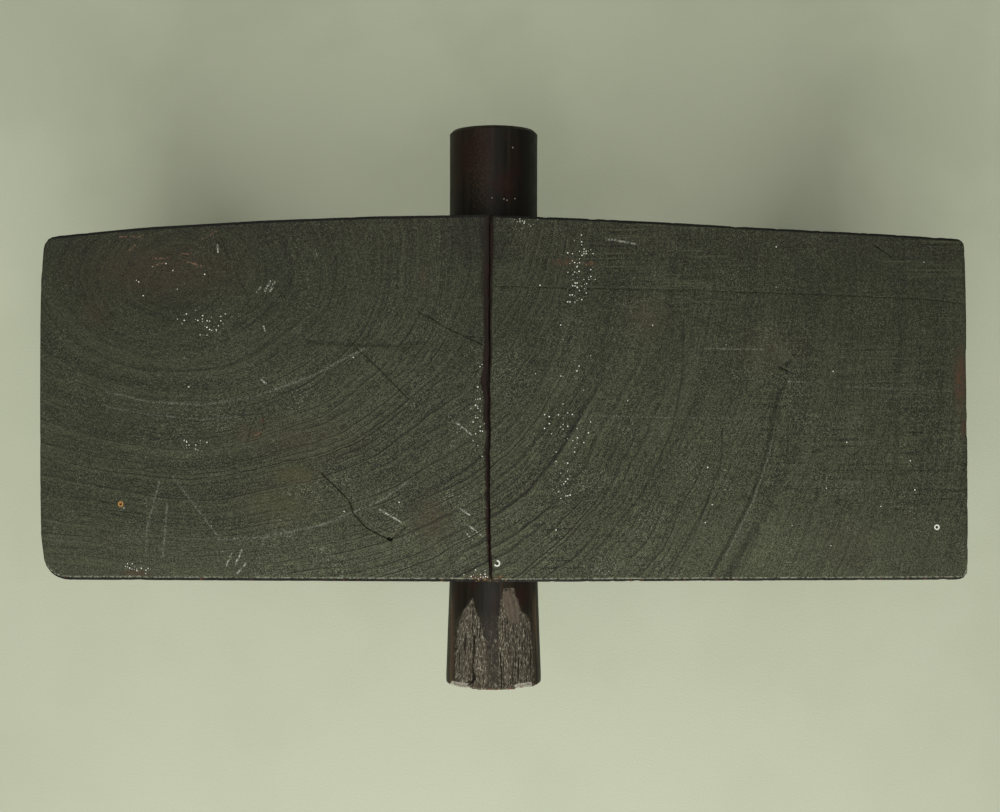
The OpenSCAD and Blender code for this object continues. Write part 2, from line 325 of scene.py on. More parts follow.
@dataclass(frozen=True)
class EbonisedTimber:
    """A heavy hardwood block, stained black, sawn and scraped on its end grain and worn by handling.

    The stain takes unevenly from ring to ring, so the black is an olive grey with darker bands, and
    the scraper leaves short pale flecks along the rings. The sizes are in mm, and down is how many
    times its width a streak runs down the block, with the grain.
    """

    name: str
    rings: Rings
    ground: str = "353825"
    dark: str = "1d2016"
    deep: str = "212419"
    pale: str = "464a34"
    fleck: str = "676b52"
    torn: str = "a0a48c"
    dust: str = "f2f4e6"
    scratch: str = "c2c4b4"
    rust: str = "453828"
    bright_rust: str = "6e4129"
    ochre: str = "4f4a30"
    gap: str = "10100a"
    # Soot for the grime patches, and the painted shade along the crown's arris.
    soot_and_arris_shade: str = "0b0b07"
    # Painted shade for the rear of the crown.
    painted_rear_shade: str = "231f18"
    crumb: str = "c08a48"
    graze: str = "94705a"
    seam_dirt_and_shade: str = "170c03"
    seam_red: str = "270c06"
    scuffed: str = "5b5343"
    side_stain: str = "1c1610"
    roughness: float = 0.66
    rubbed_roughness: float = 0.4
    specular: float = 0.22
    band: float = 9.0
    ring: float = 6.5
    line: float = 1.5
    line_width: float = 0.5
    down: float = 60.0
    blotch: float = 30.0
    hair_patch: float = 24.0
    tear_patch: float = 17.0
    saw_patch: float = 48.0
    # Pores and the scraper's hairs are about 0.15 mm wide, which is too fine to show in the render, so
    # hair and grit are drawn as coarse as they need to show.
    hair: float = 0.36
    hair_strength: float = 0.72
    grit: float = 0.31
    grit_strength: float = 0.82
    saw_pitch: float = 1.5
    saw_length: float = 16.0
    saw_strength: float = 0.3
    # A speck of dust is about 0.1 mm wide, so it is drawn coarser too, one to a cell of this pitch at most.
    speck_pitch: float = 1.0
    speck_size: float = 0.27
    rear_y: float = 90.0
    front_y: float = -60.0
    near_x: float = 30.0
    far_x: float = 100.0
    far_rings: float = 0.5

    def material(self) -> Material:
        """Make the timber's material.

        Returns:
            The finished material.
        """
        layers = Layers(self.name, self.ground, self.roughness)
        self.rings.lay(layers)
        self.stain(layers)
        self.tool_marks(layers)
        self.ring_lines(layers)
        self.wear(layers)
        self.cracks(layers)
        return layers.wood(self.specular)

    def stain(self, layers: Layers) -> None:
        """Lay the black stain's bands and faint ring lines, with painted shade that darkens the block towards
        the rear and painted light towards the front.

        Args:
            layers: the material.
        """
        bands = layers.streaks(self.band, 20 * self.band, self.down * self.band)
        layers.coat(self.dark, (bands, 0.50, 0.62, 0.75))
        layers.coat(self.pale, (bands, 0.46, 0.34, 0.7))
        layers.coat(self.deep, (layers.cloud(self.blotch), 0.50, 0.70, 0.55))
        # Painted shade and light: the block darkens towards the rear and lightens towards the front, as the
        # lamps' light falls off from the front.
        layers.coat(self.dark, (layers.y, self.front_y, self.rear_y, 0.75))
        layers.coat(self.painted_rear_shade, (layers.y, 40.0, 86.0, 0.5))
        layers.coat(self.fleck, (layers.y, -40.0, -72.0, 0.2))
        layers.coat(self.fleck, Mark.BARE)
        layers.coat(self.side_stain, Mark.LONG_GRAIN, 0.75)
        lines = layers.streaks(self.line, 30 * self.line, self.down * self.line)
        ringed = self.ringed(layers)
        layers.coat(self.dark, (lines, 0.52, 0.68, 0.26), ringed)
        layers.coat(self.pale, (lines, 0.48, 0.34, 0.24), ringed)
        layers.emboss(-0.14, lines)

    def ringed(self, layers: Layers) -> Socket:
        """Return how plainly the rings show: wholly by the seam, and less towards the right-hand end."""
        limits = {"From Min": self.near_x, "From Max": self.far_x, "To Min": 1.0, "To Max": self.far_rings}
        return layers.node("MapRange", {"Value": layers.x, **limits})

    def tool_marks(self, layers: Layers) -> None:
        """Lay the scraper's hairs and tears, the saw's fine lines on the end grain, and the open grain.

        Args:
            layers: the material.
        """
        hairs = layers.streaks(self.hair, 14 * self.hair, self.down * self.hair)
        patches = layers.strength((layers.cloud(self.hair_patch), 0.30, 0.62, self.hair_strength), Mark.TOOTH)
        # The pale and dark halves of the hairs, the saw lines and the grit are the scraped texture, and in
        # part painted light and shade on its relief.
        layers.coat(self.fleck, (hairs, 0.51, 0.66), patches)
        layers.coat(self.gap, (hairs, 0.48, 0.34), patches)
        layers.emboss(0.2, hairs)
        tears = layers.streaks(0.9 * self.hair, 3.5 * self.hair, self.down * self.hair)
        torn = layers.strength((layers.cloud(self.tear_patch), 0.48, 0.66))
        layers.coat(self.torn, (tears, 0.65, 0.74, 0.7), torn)
        saw = layers.streaks(self.saw_pitch, self.saw_length, 4 * self.saw_pitch, (layers.y, layers.x))
        sawn_patches = (layers.cloud(self.saw_patch), 0.40, 0.62, self.saw_strength)
        sawn = layers.strength(sawn_patches, (Mark.LONG_GRAIN, 1.0, 0.2))
        layers.coat(self.pale, (saw, 0.54, 0.72), sawn)
        layers.coat(self.gap, (saw, 0.46, 0.32), sawn)
        layers.emboss(0.2, saw, sawn)
        pores = layers.node("TexVoronoi", {"Vector": layers.place, "Scale": 1 / self.grit}, "Color")
        grain = layers.node("SeparateColor", {0: pores})
        root = layers.node("Math", {0: layers.strength(Mark.TOOTH), 1: 0.5}, operation="POWER")
        gritty = layers.strength(root, self.grit_strength)
        layers.coat(self.fleck, (grain, 0.45, 1.0), gritty)
        layers.coat(self.gap, (grain, 0.55, 0.05), gritty)
        layers.coat(self.torn, (grain, 0.93, 0.97, 0.6), torn, Mark.TOOTH)
        layers.emboss(0.06, grain)

    def ring_lines(self, layers: Layers) -> None:
        """Lay the thin dark latewood lines, each with a painted highlight on one shoulder, long and unevenly
        spaced.

        Args:
            layers: the material.
        """
        ringed = self.ringed(layers)
        for pitch, strength, patch in ((self.ring, 0.85, 38.0), (0.42 * self.ring, 0.6, 23.0)):
            uneven = layers.streaks(2.5 * pitch, 60 * pitch, self.down * pitch)
            counted = layers.strength(layers.lie[0], 1 / pitch)
            turns = layers.node("Math", {0: uneven, 1: 2.6, 2: counted}, operation="MULTIPLY_ADD")
            turn = layers.node("Math", {0: turns}, operation="FRACT")
            fate = layers.streaks(1.3 * pitch, 50 * pitch, self.down * pitch)
            patches = (layers.cloud(patch), 0.32, 0.50, strength)
            kept = layers.strength((fate, 0.38, 0.56), patches, Mark.TOOTH, ringed)
            half = 0.5 * self.line_width / pitch
            rise, fall = (turn, 0.5 + half, 0.5 + 2.5 * half), (turn, 0.5 + 7 * half, 0.5 + 3 * half)
            # Painted highlight: a pale shoulder beside each latewood line, standing in for the light on its
            # relief.
            layers.coat(self.fleck, rise, fall, kept, 0.25)
            core = layers.strength((turn, 0.5 - 2 * half, 0.5), (turn, 0.5 + 2 * half, 0.5), kept)
            layers.coat(self.gap, core)
            layers.emboss(-0.2, core)

    def wear(self, layers: Layers) -> None:
        """Lay the worn and stained patches, the polish, the scratches and the dust specks.

        Args:
            layers: the material.
        """
        layers.coat(self.soot_and_arris_shade, Mark.GRIME)
        layers.coat(self.ochre, Mark.STAIN)
        rust = layers.strength(Mark.RUST, (layers.cloud(1.6, 3.0), 0.30, 0.52))
        layers.coat(self.rust, rust)
        layers.coat(self.bright_rust, (rust, 0.7, 1.0, 0.14))
        layers.coat(self.scuffed, Mark.SCUFF, (layers.cloud(7.0, 4.0), 0.4, 0.65))
        layers.gloss(self.rubbed_roughness, Mark.POLISH)
        broken = layers.strength((layers.cloud(0.7), 0.45, 0.56))
        layers.coat(self.scratch, Mark.SCRATCH, broken)
        layers.coat(self.graze, Mark.GRAZE, broken)
        layers.coat(self.dust, Mark.BURR)
        flat = layers.node("CombineXYZ", {0: layers.x, 1: layers.y})
        spaced = {"Vector": flat, "Scale": 1 / self.speck_pitch}
        cells = layers.node("TexVoronoi", spaced, "Distance", voronoi_dimensions="2D")
        chance = layers.node("SeparateColor", {0: cells.node.outputs["Color"]})
        present = layers.node("Math", {0: chance, 1: layers.strength(Mark.SPECK)}, operation="LESS_THAN")
        size = layers.strength((chance.node.outputs[1], -0.2, 1.0, 1.4))
        near = layers.node("Math", {0: cells, 1: size}, operation="DIVIDE")
        radius = self.speck_size / self.speck_pitch
        layers.coat(self.dust, (near, radius, 0.5 * radius), present)

    def cracks(self, layers: Layers) -> None:
        """Darken the seam, its lip with dirt and painted shade, and the checks with painted shade, and paint
        the crown's arris with a dark line of painted shade, a painted highlight at the front and rusty chips.

        Args:
            layers: the material.
        """
        # The seam's lip is dirt, with painted shade on its soft, bevelled left edge.
        layers.coat(self.seam_dirt_and_shade, Mark.LIP)
        limits = {"From Min": -40.0, "From Max": -56.0, "To Min": 0.3}
        at_ends = layers.node("MapRange", {"Value": layers.y, **limits})
        layers.coat(self.seam_red, (Mark.LIP, 0.2, 0.7), (layers.cloud(7.0, 3.0), 0.42, 0.58, 0.85), at_ends)
        layers.coat(self.gap, (Mark.SEAM, 0.3, 0.9, 0.4))
        # Painted shade in the depth of the checks and in the dents' hollows.
        layers.coat(self.gap, Mark.CHECK)
        # Painted highlight: a broken pale line along the rounded front arris.
        at_front = layers.strength((layers.y, -66.0, -72.0))
        lit = (layers.cloud(1.1, 3.0), 0.40, 0.60, 0.8)
        layers.coat(self.torn, (Mark.ARRIS, 0.18, 0.42, 0.9), lit, at_front)
        # Painted shade: a near-black line along the crown's whole arris, where its sides turn away from the
        # light.
        layers.coat(self.soot_and_arris_shade, (Mark.ARRIS, 0.42, 0.56, 0.94))
        chipped = (layers.cloud(1.8, 3.0), 0.59, 0.68, 0.6)
        layers.coat(self.bright_rust, (Mark.ARRIS, 0.45, 0.7), chipped, at_front)
        layers.coat(self.crumb, Mark.CRUMB, (layers.cloud(0.8, 1.0), 0.62, 0.70))
        layers.coat(self.crumb, Mark.BEAD)


@dataclass(frozen=True)
class HandledPeg:
    """A turned hardwood peg, stained near black and rubbed satin by hands.

    Its long grain runs in faint streaks with a red cast, and where the dark skin is torn away
    the bark-like fibres under it are grey. The sizes are in mm.
    """

    name: str
    ground: str = "1c1810"
    dark: str = "0f0d08"
    brown: str = "2f2418"
    red: str = "2a130d"
    fibre: str = "635b4c"
    torn: str = "b8b29c"
    # Painted shade for the hollows between torn fibres, the end's checks and the fissure.
    hollow: str = "15120d"
    bare: str = "6a5f50"
    splinter: str = "b5b09f"
    rubbed: str = "5a4630"
    beaten: str = "6b3a26"
    dust: str = "c9c4b0"
    end_grain: str = "3b3023"
    end_ring: str = "241c14"
    roughness: float = 0.5
    worn_roughness: float = 0.55
    end_roughness: float = 0.8
    bark_roughness: float = 0.85
    specular: float = 0.16
    streak: float = 2.2
    # The fibres are about 0.1 mm thick, too fine to show in the render, so they are drawn in coarser strands.
    fibre_width: float = 0.5
    strand: Point = (0.7, 16.0, 3.0)
    ring_pitch: float = 1.7

    def material(self) -> Material:
        """Make the peg's material, with its grain along Y.

        Returns:
            The finished material.
        """
        layers = Layers(self.name, self.ground, self.roughness)
        drawn = layers.node("VectorMath", {0: layers.place, 1: (1.0, 0.04, 1.0)}, operation="MULTIPLY")
        streaks = layers.node("TexNoise", {"Vector": drawn, "Scale": 1 / self.streak, "Detail": 3.0})
        layers.coat(self.brown, (streaks, 0.50, 0.70, 0.8))
        layers.coat(self.dark, (streaks, 0.46, 0.32, 0.8))
        layers.coat(self.red, (layers.cloud(14.0), 0.52, 0.66, 0.6))
        layers.emboss(0.12, streaks)
        layers.gloss(self.worn_roughness, (layers.cloud(6.0, 3.0), 0.45, 0.65))
        self.torn_fibres(layers, streaks)
        self.end_faces(layers)
        layers.coat(self.beaten, Mark.ARRIS, (layers.cloud(2.4, 3.0), 0.46, 0.60, 0.9))
        # Painted shade in the fissure.
        layers.coat(self.hollow, Mark.CHECK)
        return layers.wood(self.specular)

    def end_faces(self, layers: Layers) -> None:
        """Lay the beaten end grain: close rings round the heart, crossed by short radial checks.

        Args:
            layers: the material.
        """
        end = layers.strength(Mark.TOOTH)
        layers.coat(self.end_grain, end, 0.9)
        from_heart = layers.node("VectorMath", {0: layers.place, 1: (-PEG_X, 0.0, -PEG_Z)}, operation="ADD")
        flat = layers.node("VectorMath", {0: from_heart, 1: (1.0, 0.0, 1.0)}, operation="MULTIPLY")
        reach = layers.node("VectorMath", {0: flat}, "Value", operation="LENGTH")
        uneven = layers.node("Math", {0: layers.cloud(6.0), 1: 4.0, 2: reach}, operation="MULTIPLY_ADD")
        turn = layers.node("Math", {0: layers.strength(uneven, 1 / self.ring_pitch)}, operation="FRACT")
        rings = layers.strength((turn, 0.35, 0.8), (turn, 1.0, 0.9))
        layers.coat(self.end_ring, end, rings, 0.75)
        right, _, up = layers.node("SeparateXYZ", {0: from_heart}).node.outputs
        bearing = layers.node("Math", {0: right, 1: up}, operation="ARCTAN2")
        around = layers.node("CombineXYZ", {0: bearing, 1: layers.strength(reach, 0.05)})
        checks = layers.node("TexNoise", {"Vector": around, "Scale": 9.0, "Detail": 2.0})
        # Painted shade in the end's radial checks.
        layers.coat(self.hollow, end, (checks, 0.36, 0.30, 0.9))
        layers.coat(self.rubbed, end, (layers.cloud(2.2, 3.0), 0.55, 0.68, 0.5))
        layers.gloss(self.end_roughness, end)
        layers.emboss(-0.15, end, rings)
        layers.emboss(-0.4, end, (checks, 0.36, 0.30))

    def torn_fibres(self, layers: Layers, streaks: Socket) -> None:
        """Lay the grey fibres where the piece carries the bark mark, and dust where it is smooth.

        Args:
            layers: the material.
            streaks: the pattern of the long grain.
        """
        drawn = layers.node("VectorMath", {0: layers.place, 1: (1.0, 0.28, 1.0)}, operation="MULTIPLY")
        tangle = {"Scale": 1 / self.fibre_width, "Detail": 3.0, "Roughness": 0.7, "Distortion": 0.6}
        fibres = layers.node("TexNoise", {"Vector": drawn, **tangle})
        strands = layers.streaks(*self.strand)
        bark = layers.strength(Mark.BARK)
        layers.coat(self.fibre, bark, 0.85)
        layers.coat(self.torn, bark, (fibres, 0.53, 0.66, 0.9))
        # Painted shade between the torn fibres and the strands.
        layers.coat(self.hollow, bark, (fibres, 0.45, 0.38, 0.95))
        layers.coat(self.hollow, bark, (strands, 0.46, 0.34, 0.9))
        layers.coat(self.bare, Mark.BARE, 0.85)
        # On the crown peg this scuff mark is a painted reflection: brown streaks along its two flanks.
        layers.coat(self.rubbed, Mark.SCUFF, (streaks, 0.35, 0.60, 0.8))
        chips = layers.strength(Mark.SCRATCH, (fibres, 0.30, 0.48))
        layers.coat(self.splinter, (chips, 0.3, 0.6))
        layers.gloss(self.bark_roughness, bark)
        layers.emboss(0.8, bark, fibres)
        layers.emboss(0.6, bark, strands)
        layers.coat(self.brown, Mark.STAIN, (layers.cloud(0.9, 3.0), 0.44, 0.56))
        layers.coat(self.rubbed, Mark.STAIN, (layers.cloud(0.7, 3.0), 0.60, 0.66, 0.7))
        # Here the dark coat on the grime mark is painted shade on the rear peg's right side, not grime.
        for colour, mark in ((self.red, Mark.RUST), (self.dark, Mark.GRIME), (self.dust, Mark.SPECK)):
            layers.coat(colour, mark)


@dataclass(frozen=True)
class CleftWood:
    """Straight-grained oak, cleft and shaved, so its fibres run the whole length with small torn spots."""

    name: str
    ground: str
    dark: str
    pale: str
    along: Point = (0.0, 1.0, 0.0)
    fibre: float = 0.8
    roughness: float = 0.6
    specular: float = 0.4

    def material(self) -> Material:
        """Make the material, with its fibres along the unit vector that along holds.

        Returns:
            The finished material.
        """
        layers = Layers(self.name, self.ground, self.roughness)
        squeeze = tuple(1.0 - 0.96 * a for a in self.along)
        drawn = layers.node("VectorMath", {0: layers.place, 1: squeeze}, operation="MULTIPLY")
        fibres = layers.node("TexNoise", {"Vector": drawn, "Scale": 1 / self.fibre, "Detail": 3.0})
        rings = layers.node("TexNoise", {"Vector": drawn, "Scale": 1 / (4 * self.fibre), "Detail": 1.0})
        layers.coat(self.dark, (rings, 0.50, 0.68, 0.8))
        layers.coat(self.pale, (fibres, 0.54, 0.70, 0.7))
        layers.coat(self.dark, (fibres, 0.44, 0.30, 0.8))
        layers.emboss(0.16, fibres)
        layers.coat(self.dark, (layers.cloud(5.0, 4.0), 0.55, 0.70, 0.5))
        layers.coat(self.pale, Mark.ARRIS, (layers.cloud(1.8, 3.0), 0.45, 0.6, 0.8))
        return layers.wood(self.specular)


@dataclass(frozen=True)
class StudioPaper:
    """A sheet of sage paper: matt, with a faint tooth and soft mottling, painted lighter towards the rear,
    and with a painted shadow behind the crown.
    """

    name: str = "sage_paper"
    front: str = "c9cdb5"
    # The rear colour is painted light, paler than the front.
    rear: str = "d6dbc0"
    mottle: str = "bec4a9"
    # The colour of the painted shadow on the paper behind the crown, then where it lies and how far it
    # reaches.
    painted_shadow: str = "9ba38a"
    reach: float = 280.0
    mottle_size: float = 130.0
    painted_shadow_y: float = 140.0
    painted_shadow_reach: float = 90.0
    # Paper's tooth is about 0.1 mm, so it is drawn this coarse to show as a soft grain.
    tooth: float = 1.2

    def material(self) -> Material:
        """Make the paper's material.

        Returns:
            The finished material.
        """
        layers = Layers(self.name, self.front, 0.9)
        # Painted light: the paper lightens towards the rear, against the falloff of the front lamps and the
        # yoke's shadow there.
        layers.coat(self.rear, (layers.y, -self.reach, self.reach))
        layers.coat(self.mottle, (layers.cloud(self.mottle_size, 3.0), 0.42, 0.62, 0.3))
        back = (0.0, -self.painted_shadow_y, 0.0)
        from_middle = layers.node("VectorMath", {0: layers.place, 1: back}, operation="ADD")
        away = layers.node("VectorMath", {0: from_middle}, "Value", operation="LENGTH")
        # Painted shadow: a soft darker patch on the paper behind the crown, beside the peg.
        layers.coat(self.painted_shadow, (away, self.painted_shadow_reach, 0.0, 0.3))
        bump = layers.node("Bump", {"Strength": 0.2, "Distance": MM, "Height": layers.cloud(self.tooth)})
        return layers.finish(layers.node("BsdfDiffuse", {"Color": layers.colour, "Normal": bump}))


# ---------------------------------------------------------------- marks in real places


@dataclass(frozen=True)
class Line:
    """A line of places on the crown, in mm, with its width in mm, its strength and its depth in mm."""

    path: tuple[Place, ...]
    width: float
    strength: float = 1.0
    depth: float = 0.0


@dataclass(frozen=True)
class Patch:
    """An oval patch on the crown: its middle and half sizes in mm, and its strength."""

    middle: Place
    reach: Place
    strength: float = 1.0


@dataclass(frozen=True)
class Dent:
    """A small round dent with a burr round its rim: its middle and radius in mm, and the burr's mark.

    The burr leaves a gap round the bearing gap_at, gap_half to each side, in degrees.
    """

    middle: Place
    radius: float
    burr: Mark
    gap_at: float = 0.0
    gap_half: float = 0.0


def lines(width: float, strength: float, *paths: tuple[Place, ...], depth: float = 0.0) -> tuple[Line, ...]:
    """Return lines of one width, strength and depth, one along each path."""
    return tuple(Line(path, width, strength, depth) for path in paths)


def unit(values: Array) -> Array:
    """Keep values between 0 and 1."""
    return np.clip(values, 0.0, 1.0)


def strongest(count: int, strengths: Iterable[Array], ground: float = 0.0) -> Array:
    """Return the strongest of several strengths at each of count points, and no less than ground."""
    return np.maximum.reduce([np.full(count, ground), *strengths])


def nearest(count: int, gaps: Iterable[Array]) -> Array:
    """Return the smallest of several gaps at each of count points."""
    return np.minimum.reduce([np.full(count, np.inf), *gaps])


def distance_to_line(flat: Array, path: Sequence[Place]) -> Array:
    """Measure how far places are from a line of straight runs.

    Args:
        flat: an array of X and Y, in mm.
        path: the line's corners, in mm.

    Returns:
        The distance of each point in mm.
    """
    gaps = []
    for start, end in zip(path[:-1], path[1:]):
        away = flat - np.array(start)
        run = np.array(end) - np.array(start)
        share = unit(away @ run / (run @ run))
        gaps.append(np.linalg.norm(away - share[:, None] * run, axis=1))
    return nearest(len(flat), gaps)


def distance_to_lines(flat: Array, paths: Iterable[Sequence[Place]]) -> Array:
    """Return the distance in mm from each X and Y to the nearest of several lines."""
    return nearest(len(flat), (distance_to_line(flat, path) for path in paths))


def distance_to_spots(flat: Array, spots: Iterable[Place]) -> Array:
    """Return the distance in mm from each X and Y to the nearest of several spots."""
    return nearest(len(flat), (np.linalg.norm(flat - np.array(spot), axis=1) for spot in spots))


def patch_strength(flat: Array, patch: Patch) -> Array:
    """Return how strongly a patch covers each X and Y, fading from half its reach to half beyond it."""
    gap = np.linalg.norm((flat - np.array(patch.middle)) / np.array(patch.reach), axis=1)
    return patch.strength * unit(1.5 - gap)


def follow(rows: Iterable[Sequence[float]], at: Array) -> list[Array]:
    """Interpolate rows that each hold a place and one or more values there.

    Args:
        rows: the rows.
        at: the place that is asked for, at each vertex.

    Returns:
        An array for each value.
    """
    places, *columns = (np.array(column) for column in zip(*sorted(rows)))
    return [np.interp(at, places, column) for column in columns]


def wander(points: Array, size: float, seed: float) -> Array:
    """Return noise from -1 to 1 at places in mm, with humps size mm apart, of a pattern that seed picks."""
    return np.array([noise.noise(Vector(p)) for p in points / size + seed])


# ---------------------------------------------------------------- pieces


@dataclass
class WorkedPiece:
    """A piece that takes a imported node's shape, evenly faceted, and wears it down by hand.

    The hewing goes hew mm deep on average, in scallops hew_size mm wide.
    """

    node: str
    name: str
    slot: Slot
    body: Body
    material: Material
    octree: int = 7
    hew: float = 0.25
    hew_size: float = 22.0
    seed: float = 0.0
    sharp_angle: float = 35.0
    arris_reach: float = 1.2

    def build(self) -> None:
        """Make the piece, give it its body and material, and hide the node that it stands for."""
        piece = self.even_copy()
        mesh = bmesh.new()
        mesh.from_mesh(piece.data)
        self.shape(mesh)
        bmesh.ops.recalc_face_normals(mesh, faces=mesh.faces)
        mesh.to_mesh(piece.data)
        mesh.free()
        self.wear(piece.data)
        piece.data.shade_smooth()
        piece.data.set_sharp_from_angle(angle=math.radians(self.sharp_angle))
        piece.data.materials.clear()
        piece.data.materials.append(self.material)
        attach(piece, self.body.value)
        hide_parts(self.node)
        triangles = sum(len(face.vertices) - 2 for face in piece.data.polygons)
        log.info("%s: %d triangles", self.name, triangles)

    def even_copy(self) -> bpy.types.Object:
        """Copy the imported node, close the copy and remake it in even faces with its arrises kept.

        Returns:
            The copy, in the scene.
        """
        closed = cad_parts[self.node].data.copy()
        mesh = bmesh.new()
        mesh.from_mesh(closed)
        bmesh.ops.remove_doubles(mesh, verts=mesh.verts, dist=WELD)
        mesh.to_mesh(closed)
        mesh.free()
        rough = bpy.data.objects.new(self.name + "_rough", closed)
        bpy.context.scene.collection.objects.link(rough)
        remesh = rough.modifiers.new("even faces", "REMESH")
        remesh.mode = "SHARP"
        remesh.octree_depth = self.octree
        remesh.scale = 0.99
        remesh.use_remove_disconnected = False
        evaluated = rough.evaluated_get(bpy.context.evaluated_depsgraph_get())
        even = bpy.data.meshes.new_from_object(evaluated)
        bpy.data.objects.remove(rough)
        piece = bpy.data.objects.new(self.name, even)
        bpy.context.scene.collection.objects.link(piece)
        corners = [v.co.copy() for v in closed.vertices]
        self.surface = BVHTree.FromPolygons(corners, [tuple(p.vertices) for p in closed.polygons])
        return piece

    def shape(self, mesh: BMesh) -> None:
        """Change the even mesh before it is worn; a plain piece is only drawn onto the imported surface."""
        self.snap(mesh, math.inf)

    def snap(self, mesh: BMesh, below: float) -> None:
        """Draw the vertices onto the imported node's surface, so that fine edges come back.

        Args:
            mesh: the mesh to change.
            below: the height in metres under which they are drawn.
        """
        for vertex in mesh.verts:
            if vertex.co.z < below:
                vertex.co = self.surface.find_nearest(vertex.co)[0]

    def refine(self, mesh: BMesh, wanted: Callable[[Array], Array]) -> None:
        """Halve the faces whose middle is wanted.

        Args:
            mesh: the mesh to change.
            wanted: tells for an array of face middles, in mm, which are halved.
        """
        chosen = wanted(np.array([face.calc_center_median() for face in mesh.faces]) / MM)
        edges = dict.fromkeys(edge for face, take in zip(mesh.faces, chosen) if take for edge in face.edges)
        bmesh.ops.subdivide_edges(mesh, edges=list(edges), cuts=1, use_grid_fill=True, use_single_edge=True)

    def wear(self, mesh: Mesh) -> None:
        """Press the surface in with shallow tool scallops and mark the worn arrises.

        Args:
            mesh: the mesh to change.
        """
        points, normals = self.read(mesh)
        self.move(mesh, points - normals * self.scallops(points)[:, None])
        self.write(mesh, Mark.ARRIS, self.arris_strength(mesh))

    def scallops(self, points: Array) -> Array:
        """Return how deep the hewing tool went at each point, in mm."""
        fine = wander(points, 0.3 * self.hew_size, self.seed + 7.0)
        return self.hew * (1.0 + 0.7 * wander(points, self.hew_size, self.seed) + 0.3 * fine)

    def read(self, mesh: Mesh) -> tuple[Array, Array]:
        """Read a mesh's vertices.

        Args:
            mesh: the mesh.

        Returns:
            The vertices' places in mm and their outward normals.
        """
        points = np.empty(3 * len(mesh.vertices))
        mesh.vertices.foreach_get("co", points)
        normals = np.empty(3 * len(mesh.vertices))
        mesh.vertex_normals.foreach_get("vector", normals)
        return points.reshape(-1, 3) / MM, normals.reshape(-1, 3)

    def move(self, mesh: Mesh, points: Array) -> None:
        """Move the vertices to new places in mm."""
        mesh.vertices.foreach_set("co", (points * MM).ravel())
        mesh.update()

    def write(self, mesh: Mesh, mark: Mark, strength: Array) -> None:
        """Store a mark's strength on the vertices."""
        layer = mesh.attributes.new(mark.value, "FLOAT", "POINT")
        layer.data.foreach_set("value", unit(strength).astype(np.float32))

    def arris_strength(self, mesh: Mesh) -> Array:
        """Work out how near each vertex is to a sharp edge.

        Args:
            mesh: the mesh.

        Returns:
            1 on a sharp edge, fading to 0 at arris_reach mm from it.
        """
        sharp = bmesh.new()
        sharp.from_mesh(mesh)
        tree = kdtree.KDTree(len(sharp.edges))
        for edge in self.sharp_edges(sharp, self.sharp_angle):
            tree.insert((edge.verts[0].co + edge.verts[1].co) / 2, edge.index)
        tree.balance()
        gaps = np.array([tree.find(vertex.co)[2] / MM for vertex in sharp.verts])
        sharp.free()
        return unit(1.0 - gaps / self.arris_reach)

    def sharp_edges(self, mesh: BMesh, degrees: float) -> list[bmesh.types.BMEdge]:
        """Return the edges whose faces meet at more than an angle."""
        limit = math.radians(degrees)
        return [edge for edge in mesh.edges if edge.is_manifold and edge.calc_face_angle() > limit]


